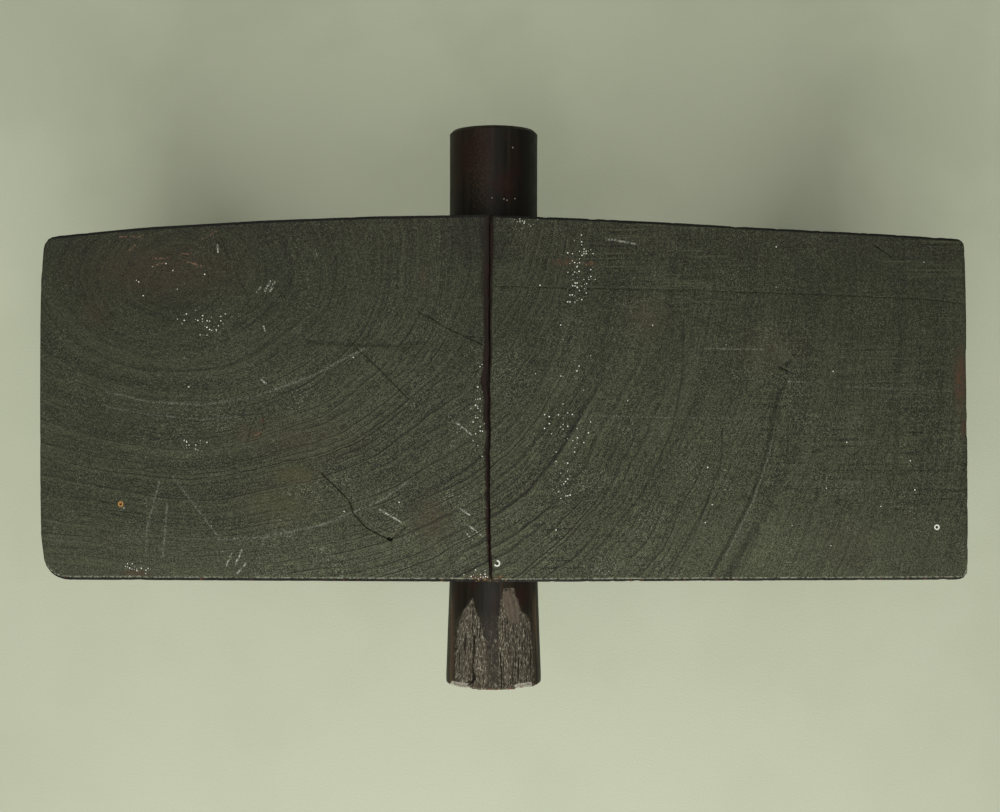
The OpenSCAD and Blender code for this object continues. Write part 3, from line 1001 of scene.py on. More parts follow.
@dataclass
class Cheek(WorkedPiece):
    """One upright half of the yoke: crown, leg and foot in one timber.

    Its sizes are in mm. The crown's skin is the depth under the crown that is refined. The sawn top is
    hewn only by top_hew of what the sides are.
    """

    side: Side = Side.LEFT
    checks: tuple[Line, ...] = ()
    scratches: tuple[Line, ...] = ()
    grazes: tuple[Line, ...] = ()
    specks: tuple[Patch, ...] = ()
    rusts: tuple[Patch, ...] = ()
    stains: tuple[Patch, ...] = ()
    chips: tuple[Patch, ...] = ()
    crumbs: tuple[Patch, ...] = ()
    grime: tuple[Patch, ...] = ()
    bleached: tuple[Patch, ...] = ()
    dents: tuple[Dent, ...] = ()
    ease_end: float = 0.4
    ease_front: float = 0.6
    ease_foot: float = 290.0
    crown_skin: float = 14.0
    crown_from: float = 10.5
    crown_fade: float = 1.5
    top_hew: float = 0.6
    side_probe: float = 12.0
    top_skin: float = 2.0
    arris_radius: float = 0.8
    arris_angle: float = 50.0
    edge_reach: float = 2.4
    line_reach: Place = (1.6, 0.8)
    seam_reach: Place = (5.0, 3.8)
    dent_reach: Point = (2.6, 1.9, 1.6)
    dent_hollow: float = 0.6
    dent_depth: float = 0.5
    burr_width: float = 0.25
    ground_dust: float = 0.0006
    ground_rust: float = 0.05
    tooth_by_y: tuple[Place, ...] = ((-75, 1.0), (-30, 0.95), (10, 0.7), (40, 0.45), (80, 0.35))
    tooth_by_x: tuple[Place, ...] = ((-200, 0.5), (-130, 0.7), (-80, 0.95), (-30, 1.0))
    # Each row is a Y, the X of the left and right edges of the band of dirt and painted shade, and how soft
    # its left edge is.
    seam_edges: tuple[tuple[float, float, float, float], ...] = (
        (83, -8.6, -3.8, 4), (70, -8.4, -3.8, 4), (51, -9, -4.9, 1.8), (38, -8.2, -4.7, 0.6),
        (31, -8, -4.7, 0.6), (18, -8.8, -5.1, 0.6), (12, -9.3, -5.4, 0.8), (2, -8.6, -5.4, 0.7),
        (-8, -7.9, -5.4, 0.5), (-27, -7.6, -5.6, 0.5), (-46.5, -7.6, -5.6, 0.5), (-62, -6.9, -5.3, 1),
        (-70, -5.8, -4.7, 0.6), (-75, -5.3, -4.6, 0.5),
    )
    seam_share: float = 0.7
    seam_half: float = 0.35
    seam_depth: float = 0.45
    lip_depth: float = 0.3
    cut_edge: float = 0.35
    cut_fade: float = 0.8
    meet_z: float = 330.0
    neck_z: float = 82.0
    rope_hole: Place = (4.25, 36.0)
    rope_hole_reach: float = 16.0
    arch_z: float = 100.0
    arch_r: float = 140.0

    def shape(self, mesh: BMesh) -> None:
        """Round the crown's arris, and refine the crown, its edges, its marks and the rope hole's rims.

        Args:
            mesh: the even mesh.
        """
        self.snap(mesh, math.inf)
        self.round_crown(mesh)
        low, top = CROWN_Z - self.crown_skin, CROWN_Z - self.top_skin
        paths = [line.path for line in self.checks + self.scratches + self.grazes]
        dents = [dent.middle for dent in self.dents]
        self.refine(mesh, lambda at: at[:, 2] > low)
        for line_reach, seam_reach in zip(self.line_reach, self.seam_reach):
            self.refine(mesh, lambda at: (at[:, 2] > low) & (
                (distance_to_lines(at[:, :2], paths) < line_reach)
                | ((at[:, 2] > top) & (np.abs(at[:, 0] - SEAM_X) < seam_reach))
            ))
        for reach in self.dent_reach:
            self.refine(mesh, lambda at: (at[:, 2] > low) & (distance_to_spots(at[:, :2], dents) < reach))
        hole = np.array(self.rope_hole)
        self.refine(mesh, lambda at: np.abs(at[:, 1:] - hole).max(axis=1) < self.rope_hole_reach)
        self.snap(mesh, low * MM)

    def round_crown(self, mesh: BMesh) -> None:
        """Round the sharp edge that runs round the crown.

        Args:
            mesh: the even mesh.
        """
        low = (CROWN_Z - 9.0) * MM
        arris = [
            edge for edge in self.sharp_edges(mesh, self.arris_angle)
            if min(edge.verts[0].co.z, edge.verts[1].co.z) > low
        ]
        bmesh.ops.bevel(
            mesh, geom=arris, offset=self.arris_radius * MM, offset_type="OFFSET", affect="EDGES",
            segments=2, profile=0.5, clamp_overlap=True, material=-1,
        )

    def wear(self, mesh: Mesh) -> None:
        """Press in the tool scallops, checks, chips and seam, and mark every worn place and every place of
        painted light and shade.

        Args:
            mesh: the mesh to change.
        """
        points, normals = self.read(mesh)
        flat = points[:, :2]
        crown = unit((points[:, 2] - (CROWN_Z - self.crown_from)) / self.crown_fade)
        on_top = crown * unit(3.0 * normals[:, 2])
        level = crown * unit((normals[:, 2] - 0.05) / 0.2)
        edge = self.outline_strength(points, crown) * crown
        depth = self.scallops(points) * np.where(on_top > 0.5, self.top_hew, 1.0)
        depth += self.nicks(points, edge)
        depth *= 1.0 - self.meeting_strength(points)
        self.move(mesh, points - normals * depth[:, None])
        self.ease(mesh)
        drop, dark = self.cuts(flat, on_top)
        dented = distance_to_spots(flat, [dent.middle for dent in self.dents])
        # The dents' hollows take painted shade through the check mark.
        hollow = unit(1.0 - dented / self.dent_hollow) * on_top
        seam_drop, seam_mark, lip_mark = self.seam(points, crown)
        lowered = self.read(mesh)[0]
        lowered[:, 2] -= drop + self.dent_depth * hollow + seam_drop
        self.move(mesh, lowered)
        self.write(mesh, Mark.CHECK, np.maximum(dark, hollow))
        self.write(mesh, Mark.SEAM, seam_mark)
        self.write(mesh, Mark.LIP, lip_mark)
        self.write(mesh, Mark.ARRIS, edge * level)
        self.write(mesh, Mark.LONG_GRAIN, 1.0 - level)
        self.write_placed(mesh, flat, on_top)
        tooth = follow(self.tooth_by_y, points[:, 1])[0] * follow(self.tooth_by_x, points[:, 0])[0]
        self.write(mesh, Mark.TOOTH, tooth * (0.3 + 0.7 * level))
        self.write(mesh, Mark.SCUFF, self.scuff_strength(points))
        self.write(mesh, Mark.POLISH, self.polish_strength(points))

    def write_placed(self, mesh: Mesh, flat: Array, on_top: Array) -> None:
        """Mark the scratches, the patches and the burrs where they lie on the crown.

        Args:
            mesh: the mesh to mark.
            flat: the vertices' X and Y in mm.
            on_top: how much each vertex faces up on the crown.
        """
        for mark, scored in ((Mark.SCRATCH, self.scratches), (Mark.GRAZE, self.grazes)):
            strengths = (s.strength * unit(1.25 - distance_to_line(flat, s.path) / s.width) for s in scored)
            self.write(mesh, mark, strongest(len(flat), strengths) * on_top)
        for mark in (Mark.BURR, Mark.BEAD):
            self.write(mesh, mark, self.burr_strength(flat, mark) * on_top)
        for mark, patches, ground in (
            (Mark.SPECK, self.specks, self.ground_dust), (Mark.RUST, self.rusts, self.ground_rust),
            (Mark.STAIN, self.stains, 0.0), (Mark.CRUMB, self.crumbs, 0.0), (Mark.GRIME, self.grime, 0.0),
            (Mark.BARE, self.bleached, 0.0),
        ):
            strengths = (patch_strength(flat, patch) for patch in patches)
            self.write(mesh, mark, strongest(len(flat), strengths, ground) * on_top)

    def meeting_strength(self, points: Array) -> Array:
        """Return 1 where the cheek meets the other one below the crown, which the hewing leaves alone."""
        return unit(1.5 - np.abs(points[:, 0] - SEAM_X)) * unit((self.meet_z - points[:, 2]) / 10.0)

    def ease(self, mesh: Mesh) -> None:
        """Spread the crown a little at its outer end and front, to give back what the hewing took.

        Args:
            mesh: the mesh to change.
        """
        points = self.read(mesh)[0]
        rise = unit((points[:, 2] - self.ease_foot) / (CROWN_Z - self.ease_foot)) ** 2
        outward = self.side.value * (points[:, 0] - SEAM_X)
        points[:, 0] += self.side.value * self.ease_end * rise * unit((outward - 120.0) / 80.0)
        points[:, 1] -= self.ease_front * rise * unit((-40.0 - points[:, 1]) / 35.0)
        self.move(mesh, points)

    def outline_strength(self, points: Array, crown: Array) -> Array:
        """Work out how near each vertex of the crown is to its outline.

        Args:
            points: the vertices in mm.
            crown: how much each vertex belongs to the crown.

        Returns:
            1 on the outline, fading to 0 at edge_reach mm in from it.
        """
        gaps = np.full(len(points), np.inf)
        for index in np.flatnonzero(crown > 0):
            gaps[index] = self.outline_gap(points[index, 0], points[index, 1])
        return unit(1.0 - gaps / self.edge_reach)

    def outline_gap(self, x: float, y: float) -> float:
        """Measure the level distance from a place to the cheek's outer sides, just below the crown.

        Args:
            x: the place's X in mm.
            y: its Y in mm.

        Returns:
            The distance in mm, or a long one where the side is the seam's.
        """
        probe = Vector((x * MM, y * MM, (CROWN_Z - self.side_probe) * MM))
        place, normal, _, gap = self.surface.find_nearest(probe)
        towards_seam = abs(place.x / MM - SEAM_X) < 0.5
        return 10.0 if towards_seam or abs(normal.z) > 0.5 else gap / MM

    def nicks(self, points: Array, edge: Array) -> Array:
        """Work out the small chips along the crown's arris.

        Args:
            points: the vertices in mm.
            edge: how near each vertex is to the arris.

        Returns:
            Their depth in mm.
        """
        ragged = wander(points, 4.0, self.seed + 3.0) + 0.6 * wander(points, 1.7, self.seed + 5.0)
        depth = 0.55 * edge * unit(ragged - 0.15)
        for patch in self.chips:
            depth += patch_strength(points[:, :2], patch) * edge * np.clip(0.7 + ragged, 0.0, 1.5)
        return depth

    def cuts(self, flat: Array, on_top: Array) -> tuple[Array, Array]:
        """Open the drying checks.

        Args:
            flat: the vertices' X and Y in mm.
            on_top: how much each vertex faces up on the crown.

        Returns:
            How far the checks drop the surface in mm, and how strongly painted shade darkens them.
        """
        wide = np.column_stack([flat, np.zeros(len(flat))])
        swayed = flat + 0.35 * np.column_stack([wander(wide, 5.0, 11.0), wander(wide, 5.0, 17.0)])
        drops, darks = [], []
        for line in self.checks:
            fade = min(self.cut_edge, self.cut_fade * line.width)
            open_share = unit(0.5 + (0.5 * line.width - distance_to_line(swayed, line.path)) / fade)
            drops.append(line.depth * open_share)
            darks.append(line.strength * open_share)
        return strongest(len(flat), drops) * on_top, strongest(len(flat), darks) * on_top

    def burr_strength(self, flat: Array, mark: Mark) -> Array:
        """Work out the burrs round the dents.

        Args:
            flat: the vertices' X and Y in mm.
            mark: the mark that the wanted burrs carry.

        Returns:
            Their strength.
        """
        rings = []
        for dent in self.dents:
            away = flat - np.array(dent.middle)
            ring = unit(1.5 - np.abs(np.linalg.norm(away, axis=1) - dent.radius) / self.burr_width)
            turn = np.degrees(np.arctan2(away[:, 1], away[:, 0])) - dent.gap_at
            ring *= np.abs((turn + 180.0) % 360.0 - 180.0) >= dent.gap_half
            rings.append(ring * (dent.burr is mark))
        return strongest(len(flat), rings)

    def seam(self, points: Array, crown: Array) -> tuple[Array, Array, Array]:
        """Work out the seam and its band of dirt and painted shade, which is widest and softest at the rear
        and runs out at the front.

        Args:
            points: the vertices in mm.
            crown: how much each vertex belongs to the crown.

        Returns:
            How far each point drops in mm, how open it is, and how strongly the band round it is darkened by
            dirt and painted shade.
        """
        level = np.column_stack([points[:, :2], np.zeros(len(points))])
        ragged = 0.8 * wander(level, 8.0, 2.0) + 0.5 * wander(level, 2.6, 4.0)
        left, right, soft = follow(self.seam_edges, points[:, 1])
        left, right = left + ragged, right + 0.6 * ragged
        inside = unit(0.5 + (points[:, 0] - left) / soft)
        inside *= unit(0.5 + (right - points[:, 0]) / self.cut_edge)
        middle = left + self.seam_share * (right - left)
        opening = unit(1.3 - np.abs(points[:, 0] - middle) / self.seam_half)
        drop = self.seam_depth * opening + self.lip_depth * inside
        return drop * crown, opening * crown, inside * crown

    def scuff_strength(self, points: Array) -> Array:
        """Return how scuffed each point is: most on the feet, some in the rope necks."""
        neck = 0.6 * unit(1.0 - np.abs(points[:, 2] - self.neck_z) / 14.0)
        return np.maximum(unit(1.0 - points[:, 2] / 22.0), neck)

    def polish_strength(self, points: Array) -> Array:
        """Return how far the neck has rubbed the arch smooth."""
        reach = np.hypot(points[:, 0], np.maximum(points[:, 2] - self.arch_z, 0.0)) - self.arch_r
        return unit(1.0 - reach / 14.0) * unit((points[:, 2] - 40.0) / 60.0)


@dataclass
class CrownPeg(WorkedPiece):
    """The round peg through the crown, torn and beaten at its front end.

    Each row of a tear or of the facet is a Y in mm, and the bearings round the peg, in degrees from the
    top, at which it starts and ends there. A chip of the rim is its bearing and half its width.
    """

    radius: float = 20.5
    front_y: float = -128.5
    torn_from: float = -84.0
    tear_depth: float = 0.9
    chip_depth: float = 0.35
    fissure: tuple[Place, ...] = (
        (-13.5, -104), (-13.9, -113.5), (-14.7, -117.5), (-13.5, -123.7), (-16.5, -126.5),
    )
    fissure_depth: float = 1.6
    facet: tuple[Point, ...] = (
        (-83.5, 17, 22), (-84.5, 12.3, 26), (-88, 12.3, 31.7), (-92.5, 15, 34.7), (-97, 21.7, 36.3),
        (-98.5, 29, 35),
    )
    smears: tuple[Patch, ...] = (
        Patch((-10.4, 110), (4.6, 24)), Patch((-9.5, 96), (2.4, 8)), Patch((3, 101), (3, 1.2), 0.6),
    )
    reds: tuple[Patch, ...] = (
        Patch((2.7, 98.5), (4, 5), 0.55), Patch((-20, 112), (5, 12), 0.35), Patch((7, 112), (3, 10), 0.3),
        Patch((-9, 118), (5, 12), 0.4),
    )
    # Painted shade on the rear peg's right side, away from the light.
    painted_shades: tuple[Patch, ...] = (Patch((14, 105), (7, 34), 0.9),)
    dust_spots: tuple[Place, ...] = ((-4.9, 95.1), (0.5, 94.7), (1.9, 94.2), (5.5, 95.1), (4.6, 118.3))
    spot_radius: float = 0.2
    spot_reach: Place = (1.4, 0.9)
    rim_chips: tuple[Place, ...] = ((-48, 20), (40, 14), (156, 8))
    tears: tuple[tuple[Point, ...], ...] = (
        ((-86.7, -28, -27), (-89.4, -31, -26), (-92.2, -38.5, -23.8), (-95.8, -45, -18.5),
         (-99.5, -50, -15.5), (-106.3, -53.5, -9.5), (-115.4, -54.5, -7.5), (-128.5, -55, -7)),
        ((-82.6, 13.5, 27), (-84.4, 13, 28), (-88, 10, 32.5), (-93.1, 7.5, 35.5), (-94.4, 7, 44),
         (-97.2, 6.5, 51), (-101.7, 6, 55.5), (-110.9, 6, 57.5), (-128.5, 6, 59)),
        ((-90, 126, 127), (-97, 117, 134), (-112, 110, 144), (-128.5, 108, 148)),
        ((-86, -180, -178), (-95, -189, -172), (-110, -195, -166), (-128.5, -197, -163)),
        ((-92, -129, -128), (-99, -140, -119), (-114, -149, -110), (-128.5, -151, -108)),
    )

    def shape(self, mesh: BMesh) -> None:
        """Refine the torn front end and the places of the dust specks.

        Args:
            mesh: the even mesh.
        """
        self.snap(mesh, math.inf)
        self.refine(mesh, lambda at: at[:, 1] < self.torn_from + 2.0)
        for reach in self.spot_reach:
            self.refine(mesh, lambda at: (at[:, 2] > PEG_Z) & (self.distance_to_dust(at[:, :2]) < reach))

    def distance_to_dust(self, flat: Array) -> Array:
        """Return the distance in mm from each X and Y to the nearest speck of dust."""
        return distance_to_spots(flat, self.dust_spots)

    def wear(self, mesh: Mesh) -> None:
        """Tear the front end's skin away, beat its rim and mark the fibres.

        Args:
            mesh: the mesh to change.
        """
        points, normals = self.read(mesh)
        flat, y = points[:, :2], points[:, 1]
        out, up = points[:, 0] - PEG_X, points[:, 2] - PEG_Z
        angle = np.degrees(np.arctan2(out, up))
        torn = self.torn_strength(points, angle)
        rim_only = unit(np.hypot(out, up) - self.radius + 3.2 + 0.8 * wander(points, 3.0, 61.0))
        chips = self.chip_strength(points, angle) * rim_only
        fibres = wander(points * np.array([1.0, 0.22, 1.0]), 1.3, 5.0)
        deep = wander(points * np.array([1.0, 0.15, 1.0]), 4.0, 9.0)
        sideways = 1.0 - np.abs(normals[:, 1])
        fade = np.clip((y - self.front_y) / 4.0, 0.3, 1.0)
        rim = unit((self.front_y + 4.0 - y) / 4.0)
        swayed = flat + 0.3 * wander(points, 2.0, 51.0)[:, None]
        crack = unit(1.4 - distance_to_line(swayed, self.fissure) / 0.4) * (up > 0.0)
        depth = self.scallops(points)
        depth += fade * torn * sideways * (self.tear_depth + 0.45 * fibres + 0.35 * deep)
        depth += rim * (0.15 + 0.2 * wander(points, 3.0, 21.0) + 0.15 * wander(points, 1.2, 23.0))
        depth += self.chip_depth * chips + self.fissure_depth * crack
        self.move(mesh, points - normals * np.maximum(depth, 0.0)[:, None])
        # The fissure's check mark carries painted shade.
        self.write(mesh, Mark.CHECK, 0.9 * crack)
        self.write(mesh, Mark.BARK, torn * rim_only)
        self.write(mesh, Mark.SCRATCH, chips)
        self.write(mesh, Mark.BARE, self.bare_strength(y, angle))
        self.write(mesh, Mark.TOOTH, 1.0 - rim_only)
        # Painted reflection: brown streaks along both flanks of the front end.
        flanks = unit(1.5 - np.abs(np.abs(angle) - 66.0) / 6.0)
        self.write(mesh, Mark.SCUFF, flanks * unit((self.torn_from - y) / 8.0))
        upper = unit(up / 4.0)
        # The peg's grime mark carries only the painted shade on the rear peg's right side.
        for mark, patches in ((Mark.STAIN, self.smears), (Mark.RUST, self.reds), (Mark.GRIME, self.painted_shades)):
            strengths = (patch_strength(flat, patch) for patch in patches)
            self.write(mesh, mark, strongest(len(flat), strengths) * upper)
        self.write(mesh, Mark.SPECK, unit(1.6 - self.distance_to_dust(flat) / self.spot_radius) * upper)
        ends = unit(1.0 - np.abs(y - self.front_y) / 1.6)
        self.write(mesh, Mark.ARRIS, ends * rim_only * (0.45 + 0.55 * upper))

    def torn_strength(self, points: Array, angle: Array) -> Array:
        """Tear the skin away, in tongues that start in a point and widen to the front end.

        Args:
            points: the vertices in mm.
            angle: their bearings round the peg in degrees.

        Returns:
            How torn each vertex is.
        """
        ragged = wander(points, 2.4, 31.0) + 0.6 * wander(points, 0.9, 33.0)
        worn = np.clip((-92.0 - points[:, 1]) / 24.0, 0.0, 0.7) * np.clip(0.45 + 0.5 * ragged, 0.0, 0.7)
        torn = [worn * unit((64.0 - np.abs(angle)) / 12.0)]
        for rows in self.tears:
            start, end = follow(rows, points[:, 1])
            gap = np.abs((angle - 0.5 * (start + end) + 180.0) % 360.0 - 180.0)
            inside = unit(0.5 + (0.5 * (end - start) - gap + 1.6 * ragged) / 2.0)
            torn.append(inside * (points[:, 1] < rows[0][0]))
        return strongest(len(points), torn)

    def chip_strength(self, points: Array, angle: Array) -> Array:
        """Beat splinters off the front rim.

        Args:
            points: the vertices in mm.
            angle: their bearings round the peg in degrees.

        Returns:
            Where the splinters are gone.
        """
        ragged = 8.0 * wander(points, 2.5, 41.0)
        chips = (unit((half - np.abs(angle - middle) + ragged) / 5.0) for middle, half in self.rim_chips)
        return strongest(len(points), chips) * unit((self.front_y + 3.2 - points[:, 1]) / 1.2)

    def bare_strength(self, y: Array, angle: Array) -> Array:
        """Bare a smooth facet at the top of the right-hand tear.

        Args:
            y: the vertices' Y in mm.
            angle: their bearings round the peg in degrees.

        Returns:
            Where the wood is bare.
        """
        start, end = follow(self.facet, y)
        inside = unit(0.5 + np.minimum(angle - start, end - angle) / 2.0)
        return inside * ((y < self.facet[0][0]) & (y > self.facet[-1][0]))


# ---------------------------------------------------------------- studio


@dataclass
class Studio:
    """The floor, the lamps and the camera, in metres and watts."""

    floor_half: float = 2.5
    camera_place: Point = (-0.0013, 0.0006, 1.042)
    lens: float = 57.6
    key_place: Point = (-0.12, -0.26, 1.65)
    key_size: float = 0.8
    key_power: float = 9.1
    strip_place: Point = (0.0, -0.75, 0.65)
    strip_size: float = 0.7
    strip_power: float = 5.0
    fill_colour: str = "f4f6ee"
    fill_strength: float = 0.29
    aim: Point = (0.0, 0.0, 0.25)

    def build(self) -> None:
        """Lay the floor, hang the lamps and set the camera."""
        self.lay_floor()
        self.hang_lamp("key_softbox", self.key_place, self.key_size, self.key_power)
        self.hang_lamp("front_softbox", self.strip_place, self.strip_size, self.strip_power)
        self.light_room()
        self.set_camera()

    def lay_floor(self) -> None:
        """Lay a flat sheet of paper under the feet."""
        data = bpy.data.meshes.new("paper_floor")
        mesh = bmesh.new()
        bmesh.ops.create_grid(mesh, x_segments=4, y_segments=4, size=self.floor_half)
        mesh.to_mesh(data)
        mesh.free()
        data.materials.append(StudioPaper().material())
        floor = bpy.data.objects.new("paper_floor", data)
        bpy.context.scene.collection.objects.link(floor)

    def hang_lamp(self, name: str, place: Point, size: float, power: float) -> None:
        """Hang a square soft lamp that faces the crown.

        Args:
            name: the lamp's name.
            place: its place in metres.
            size: its side in metres.
            power: its power in watts.
        """
        lamp = bpy.data.lights.new(name, "AREA")
        lamp.shape = "SQUARE"
        lamp.size = size
        lamp.energy = power
        holder = bpy.data.objects.new(name, lamp)
        holder.location = place
        holder.rotation_mode = "QUATERNION"
        holder.rotation_quaternion = (Vector(self.aim) - Vector(place)).to_track_quat("-Z", "Y")
        bpy.context.scene.collection.objects.link(holder)

    def light_room(self) -> None:
        """Fill the room with even light."""
        world = bpy.data.worlds.new("studio_room")
        world.use_nodes = True
        backdrop = world.node_tree.nodes["Background"]
        backdrop.inputs["Color"].default_value = linear(self.fill_colour)
        backdrop.inputs["Strength"].default_value = self.fill_strength
        bpy.context.scene.world = world

    def set_camera(self) -> None:
        """Look straight down on the crown."""
        camera = bpy.data.cameras.new("camera")
        camera.lens = self.lens
        camera.sensor_width = 36.0
        camera.clip_start = 0.05
        camera.clip_end = 20.0
        holder = bpy.data.objects.new("camera", camera)
        holder.location = self.camera_place
        bpy.context.scene.collection.objects.link(holder)
        bpy.context.scene.camera = holder
        bpy.context.scene.view_settings.view_transform = "Standard"


# ---------------------------------------------------------------- the yoke


def left_cheek() -> Cheek:
    """Lay out the left cheek, whose rings bow towards the front, with its drying checks and scratches.

    Returns:
        The cheek, not yet built.
    """
    rings = Rings(pith_x=-144.0, pith_y=55.0, across_y=-0.12, bow=0.64, bow_y=1.42, bow_soft=9.0)
    timber = EbonisedTimber("ebonised_left_timber", rings)
    return Cheek(
        "left_cheek", "left_cheek_timber", Slot.CHEEK, Body.YOKE, timber.material(), seed=1.0,
        checks=(
            Line(((-124.5, 77.5), (-119.7, 66.1), (-111, 48.2)), 0.3, 0.45, 0.3),
            Line(((-106, 0.2), (-108.5, -6), (-110.5, -10.3), (-111.9, -16.2)), 0.3, 0.4, 0.3),
            Line(((-106, 0.2), (-104.3, -5.5), (-103.9, -7.3), (-105.6, -12.1)), 0.3, 0.35, 0.3),
            Line(((-117.1, 79.7), (-105.3, 55.7)), 0.3, 0.1, 0.2),
            Line(((-66.4, 29), (-53.5, 16.5), (-40.9, 3.8)), 0.3, 0.45, 0.6),
            Line(((-36.9, 41.5), (-31.6, 38.9), (-26.7, 35.6), (-8.8, 27)), 0.3, 0.4, 0.6),
            Line(((-22.4, 33.2), (-13.8, 30.6), (-8.2, 30.6)), 0.3, 0.35, 0.4),
            Line(((-78.9, -28.4), (-66.9, -40.3), (-64.9, -45.9), (-59, -52.3),
                  (-49, -57.2)), 0.36, 0.7, 0.8),
            Line(((-49.6, -56.7), (-48.6, -57.3)), 1.2, 0.9, 1.8),
            Line(((-49, -57.2), (-41.7, -51.6)), 0.4, 0.35, 0.5),
            Line(((-85, 29), (-68, 27.5), (-47, 27), (-35, 28.5)), 1.6, 0.35, 0.2),
        ),
        scratches=(
            *lines(0.35, 1,
                   ((-53.6, -44.3), (-44.3, -49.5)), ((-103.8, 50.3), (-101, 55.2)),
                   ((-18.4, -43.8), (-14.4, -46.5)), ((-15.7, -54.4), (-13.1, -57.4)),
                   ((-113.6, -61.9), (-116.6, -68))),
            *lines(0.4, 1,
                   ((-99.4, 54.6), (-101.2, 50.6)), ((-124.4, 70.8), (-124.2, 67.6)),
                   ((-104.2, 35.2), (-103.4, 33.2)), ((-105.4, 12.4), (-103, 10.2))),
            *lines(0.35, 0.8, ((-20.1, -6.7), (-13.8, -11.7)), ((-118.3, -63.3), (-120.6, -68.6))),
            *lines(0.35, 0.9, ((-14.4, -51.4), (-8.8, -55.4)), ((-111.9, -67.6), (-115.6, -71.6))),
            *lines(0.5, 0.18,
                   ((-143.9, -30.2), (-124.3, -55.9)),
                   ((-149.9, -32.5), (-155.3, -52.6), (-155.6, -62.7))),
            *lines(0.6, 0.22,
                   ((-106, -56.6), (-79, -50.9), (-64.3, -45.3), (-50.3, -38.9), (-41.6, -32.3)),
                   ((-101.7, 6.8), (-83.6, 13.4), (-68.3, 21.4), (-60.3, 25.4))),
            Line(((-107.2, 50), (-105.4, 52.4)), 0.3, 0.7),
            Line(((-124.3, -57.3), (-102.2, -56.3)), 0.5, 0.2),
            Line(((-146.3, -41.9), (-148.3, -64.6)), 0.5, 0.22),
            Line(((-173.1, 6.7), (-153.6, 2.3), (-131.8, 1), (-110.1, 4.1), (-92.7, 9.7)), 0.5, 0.16),
            Line(((-173.1, 0.2), (-153.6, -3.3), (-131.8, -5.3), (-114.4, -4.2)), 0.5, 0.13),
        ),
        grazes=(
            *lines(0.35, 0.6,
                   ((-167.3, 74.5), (-157.1, 74.5)), ((-152.6, 64.9), (-146.2, 65.2)),
                   ((-152.6, 61.7), (-147.5, 63.3)), ((-130.9, 73.5), (-124.5, 76.7)),
                   ((-139.8, 67.1), (-136.6, 66.8)), ((-107.6, -12), (-104.5, -10.5))),
            *lines(0.35, 0.7, ((-164.1, 67.8), (-160.3, 70.7)), ((-137.3, 63.3), (-128.9, 61.1))),
        ),
        specks=(
            Patch((-128, 36.4), (11, 4.5), 0.2), Patch((-148, 62), (26, 12), 0.008),
            Patch((-134.5, -16.4), (5, 2), 0.3), Patch((-10.5, -4), (2.5, 18), 0.2),
            Patch((-160, -70.5), (5, 2.5), 0.4), Patch((-10, -72.5), (6, 2.5), 0.5),
        ),
        rusts=(
            Patch((-150, 60), (34, 12), 0.42), Patch((-178, 42), (6, 7), 0.4),
            Patch((-112, -11.6), (5, 4), 0.4), Patch((-104.9, -5.8), (1, 1.4), 0.9),
            Patch((-107.4, -11.6), (2, 2.2), 0.7), Patch((-35, 57), (1.5, 4), 0.5),
            Patch((-85, -14), (22, 9), 0.3), Patch((-31, -49), (7, 10), 0.45),
            Patch((-166.8, -42.2), (1.1, 1.1)), Patch((-10, -73.5), (6, 1.6)),
            Patch((-160, -72), (6, 1.5), 0.9),
        ),
        stains=(Patch((-90, -29.5), (9, 4), 0.5), Patch((-98, -42), (14, 7), 0.3)),
        chips=(Patch((-160, -74), (5, 3), 0.8), Patch((-10, -75), (6, 3))),
        crumbs=(Patch((-12, -74), (7, 1.4)), Patch((-166.8, -42.2), (0.9, 0.9))),
        dents=(Dent((-166.8, -42.2), 0.9, Mark.BEAD), Dent((-165.4, -44), 0.1, Mark.BURR)),
        grime=(
            Patch((-14, 72), (10, 12), 0.4), Patch((-14, 42), (14, 18), 0.15),
            Patch((-150, 52), (62, 30), 0.13), Patch((-165, -25), (40, 38), 0.12),
        ),
    )


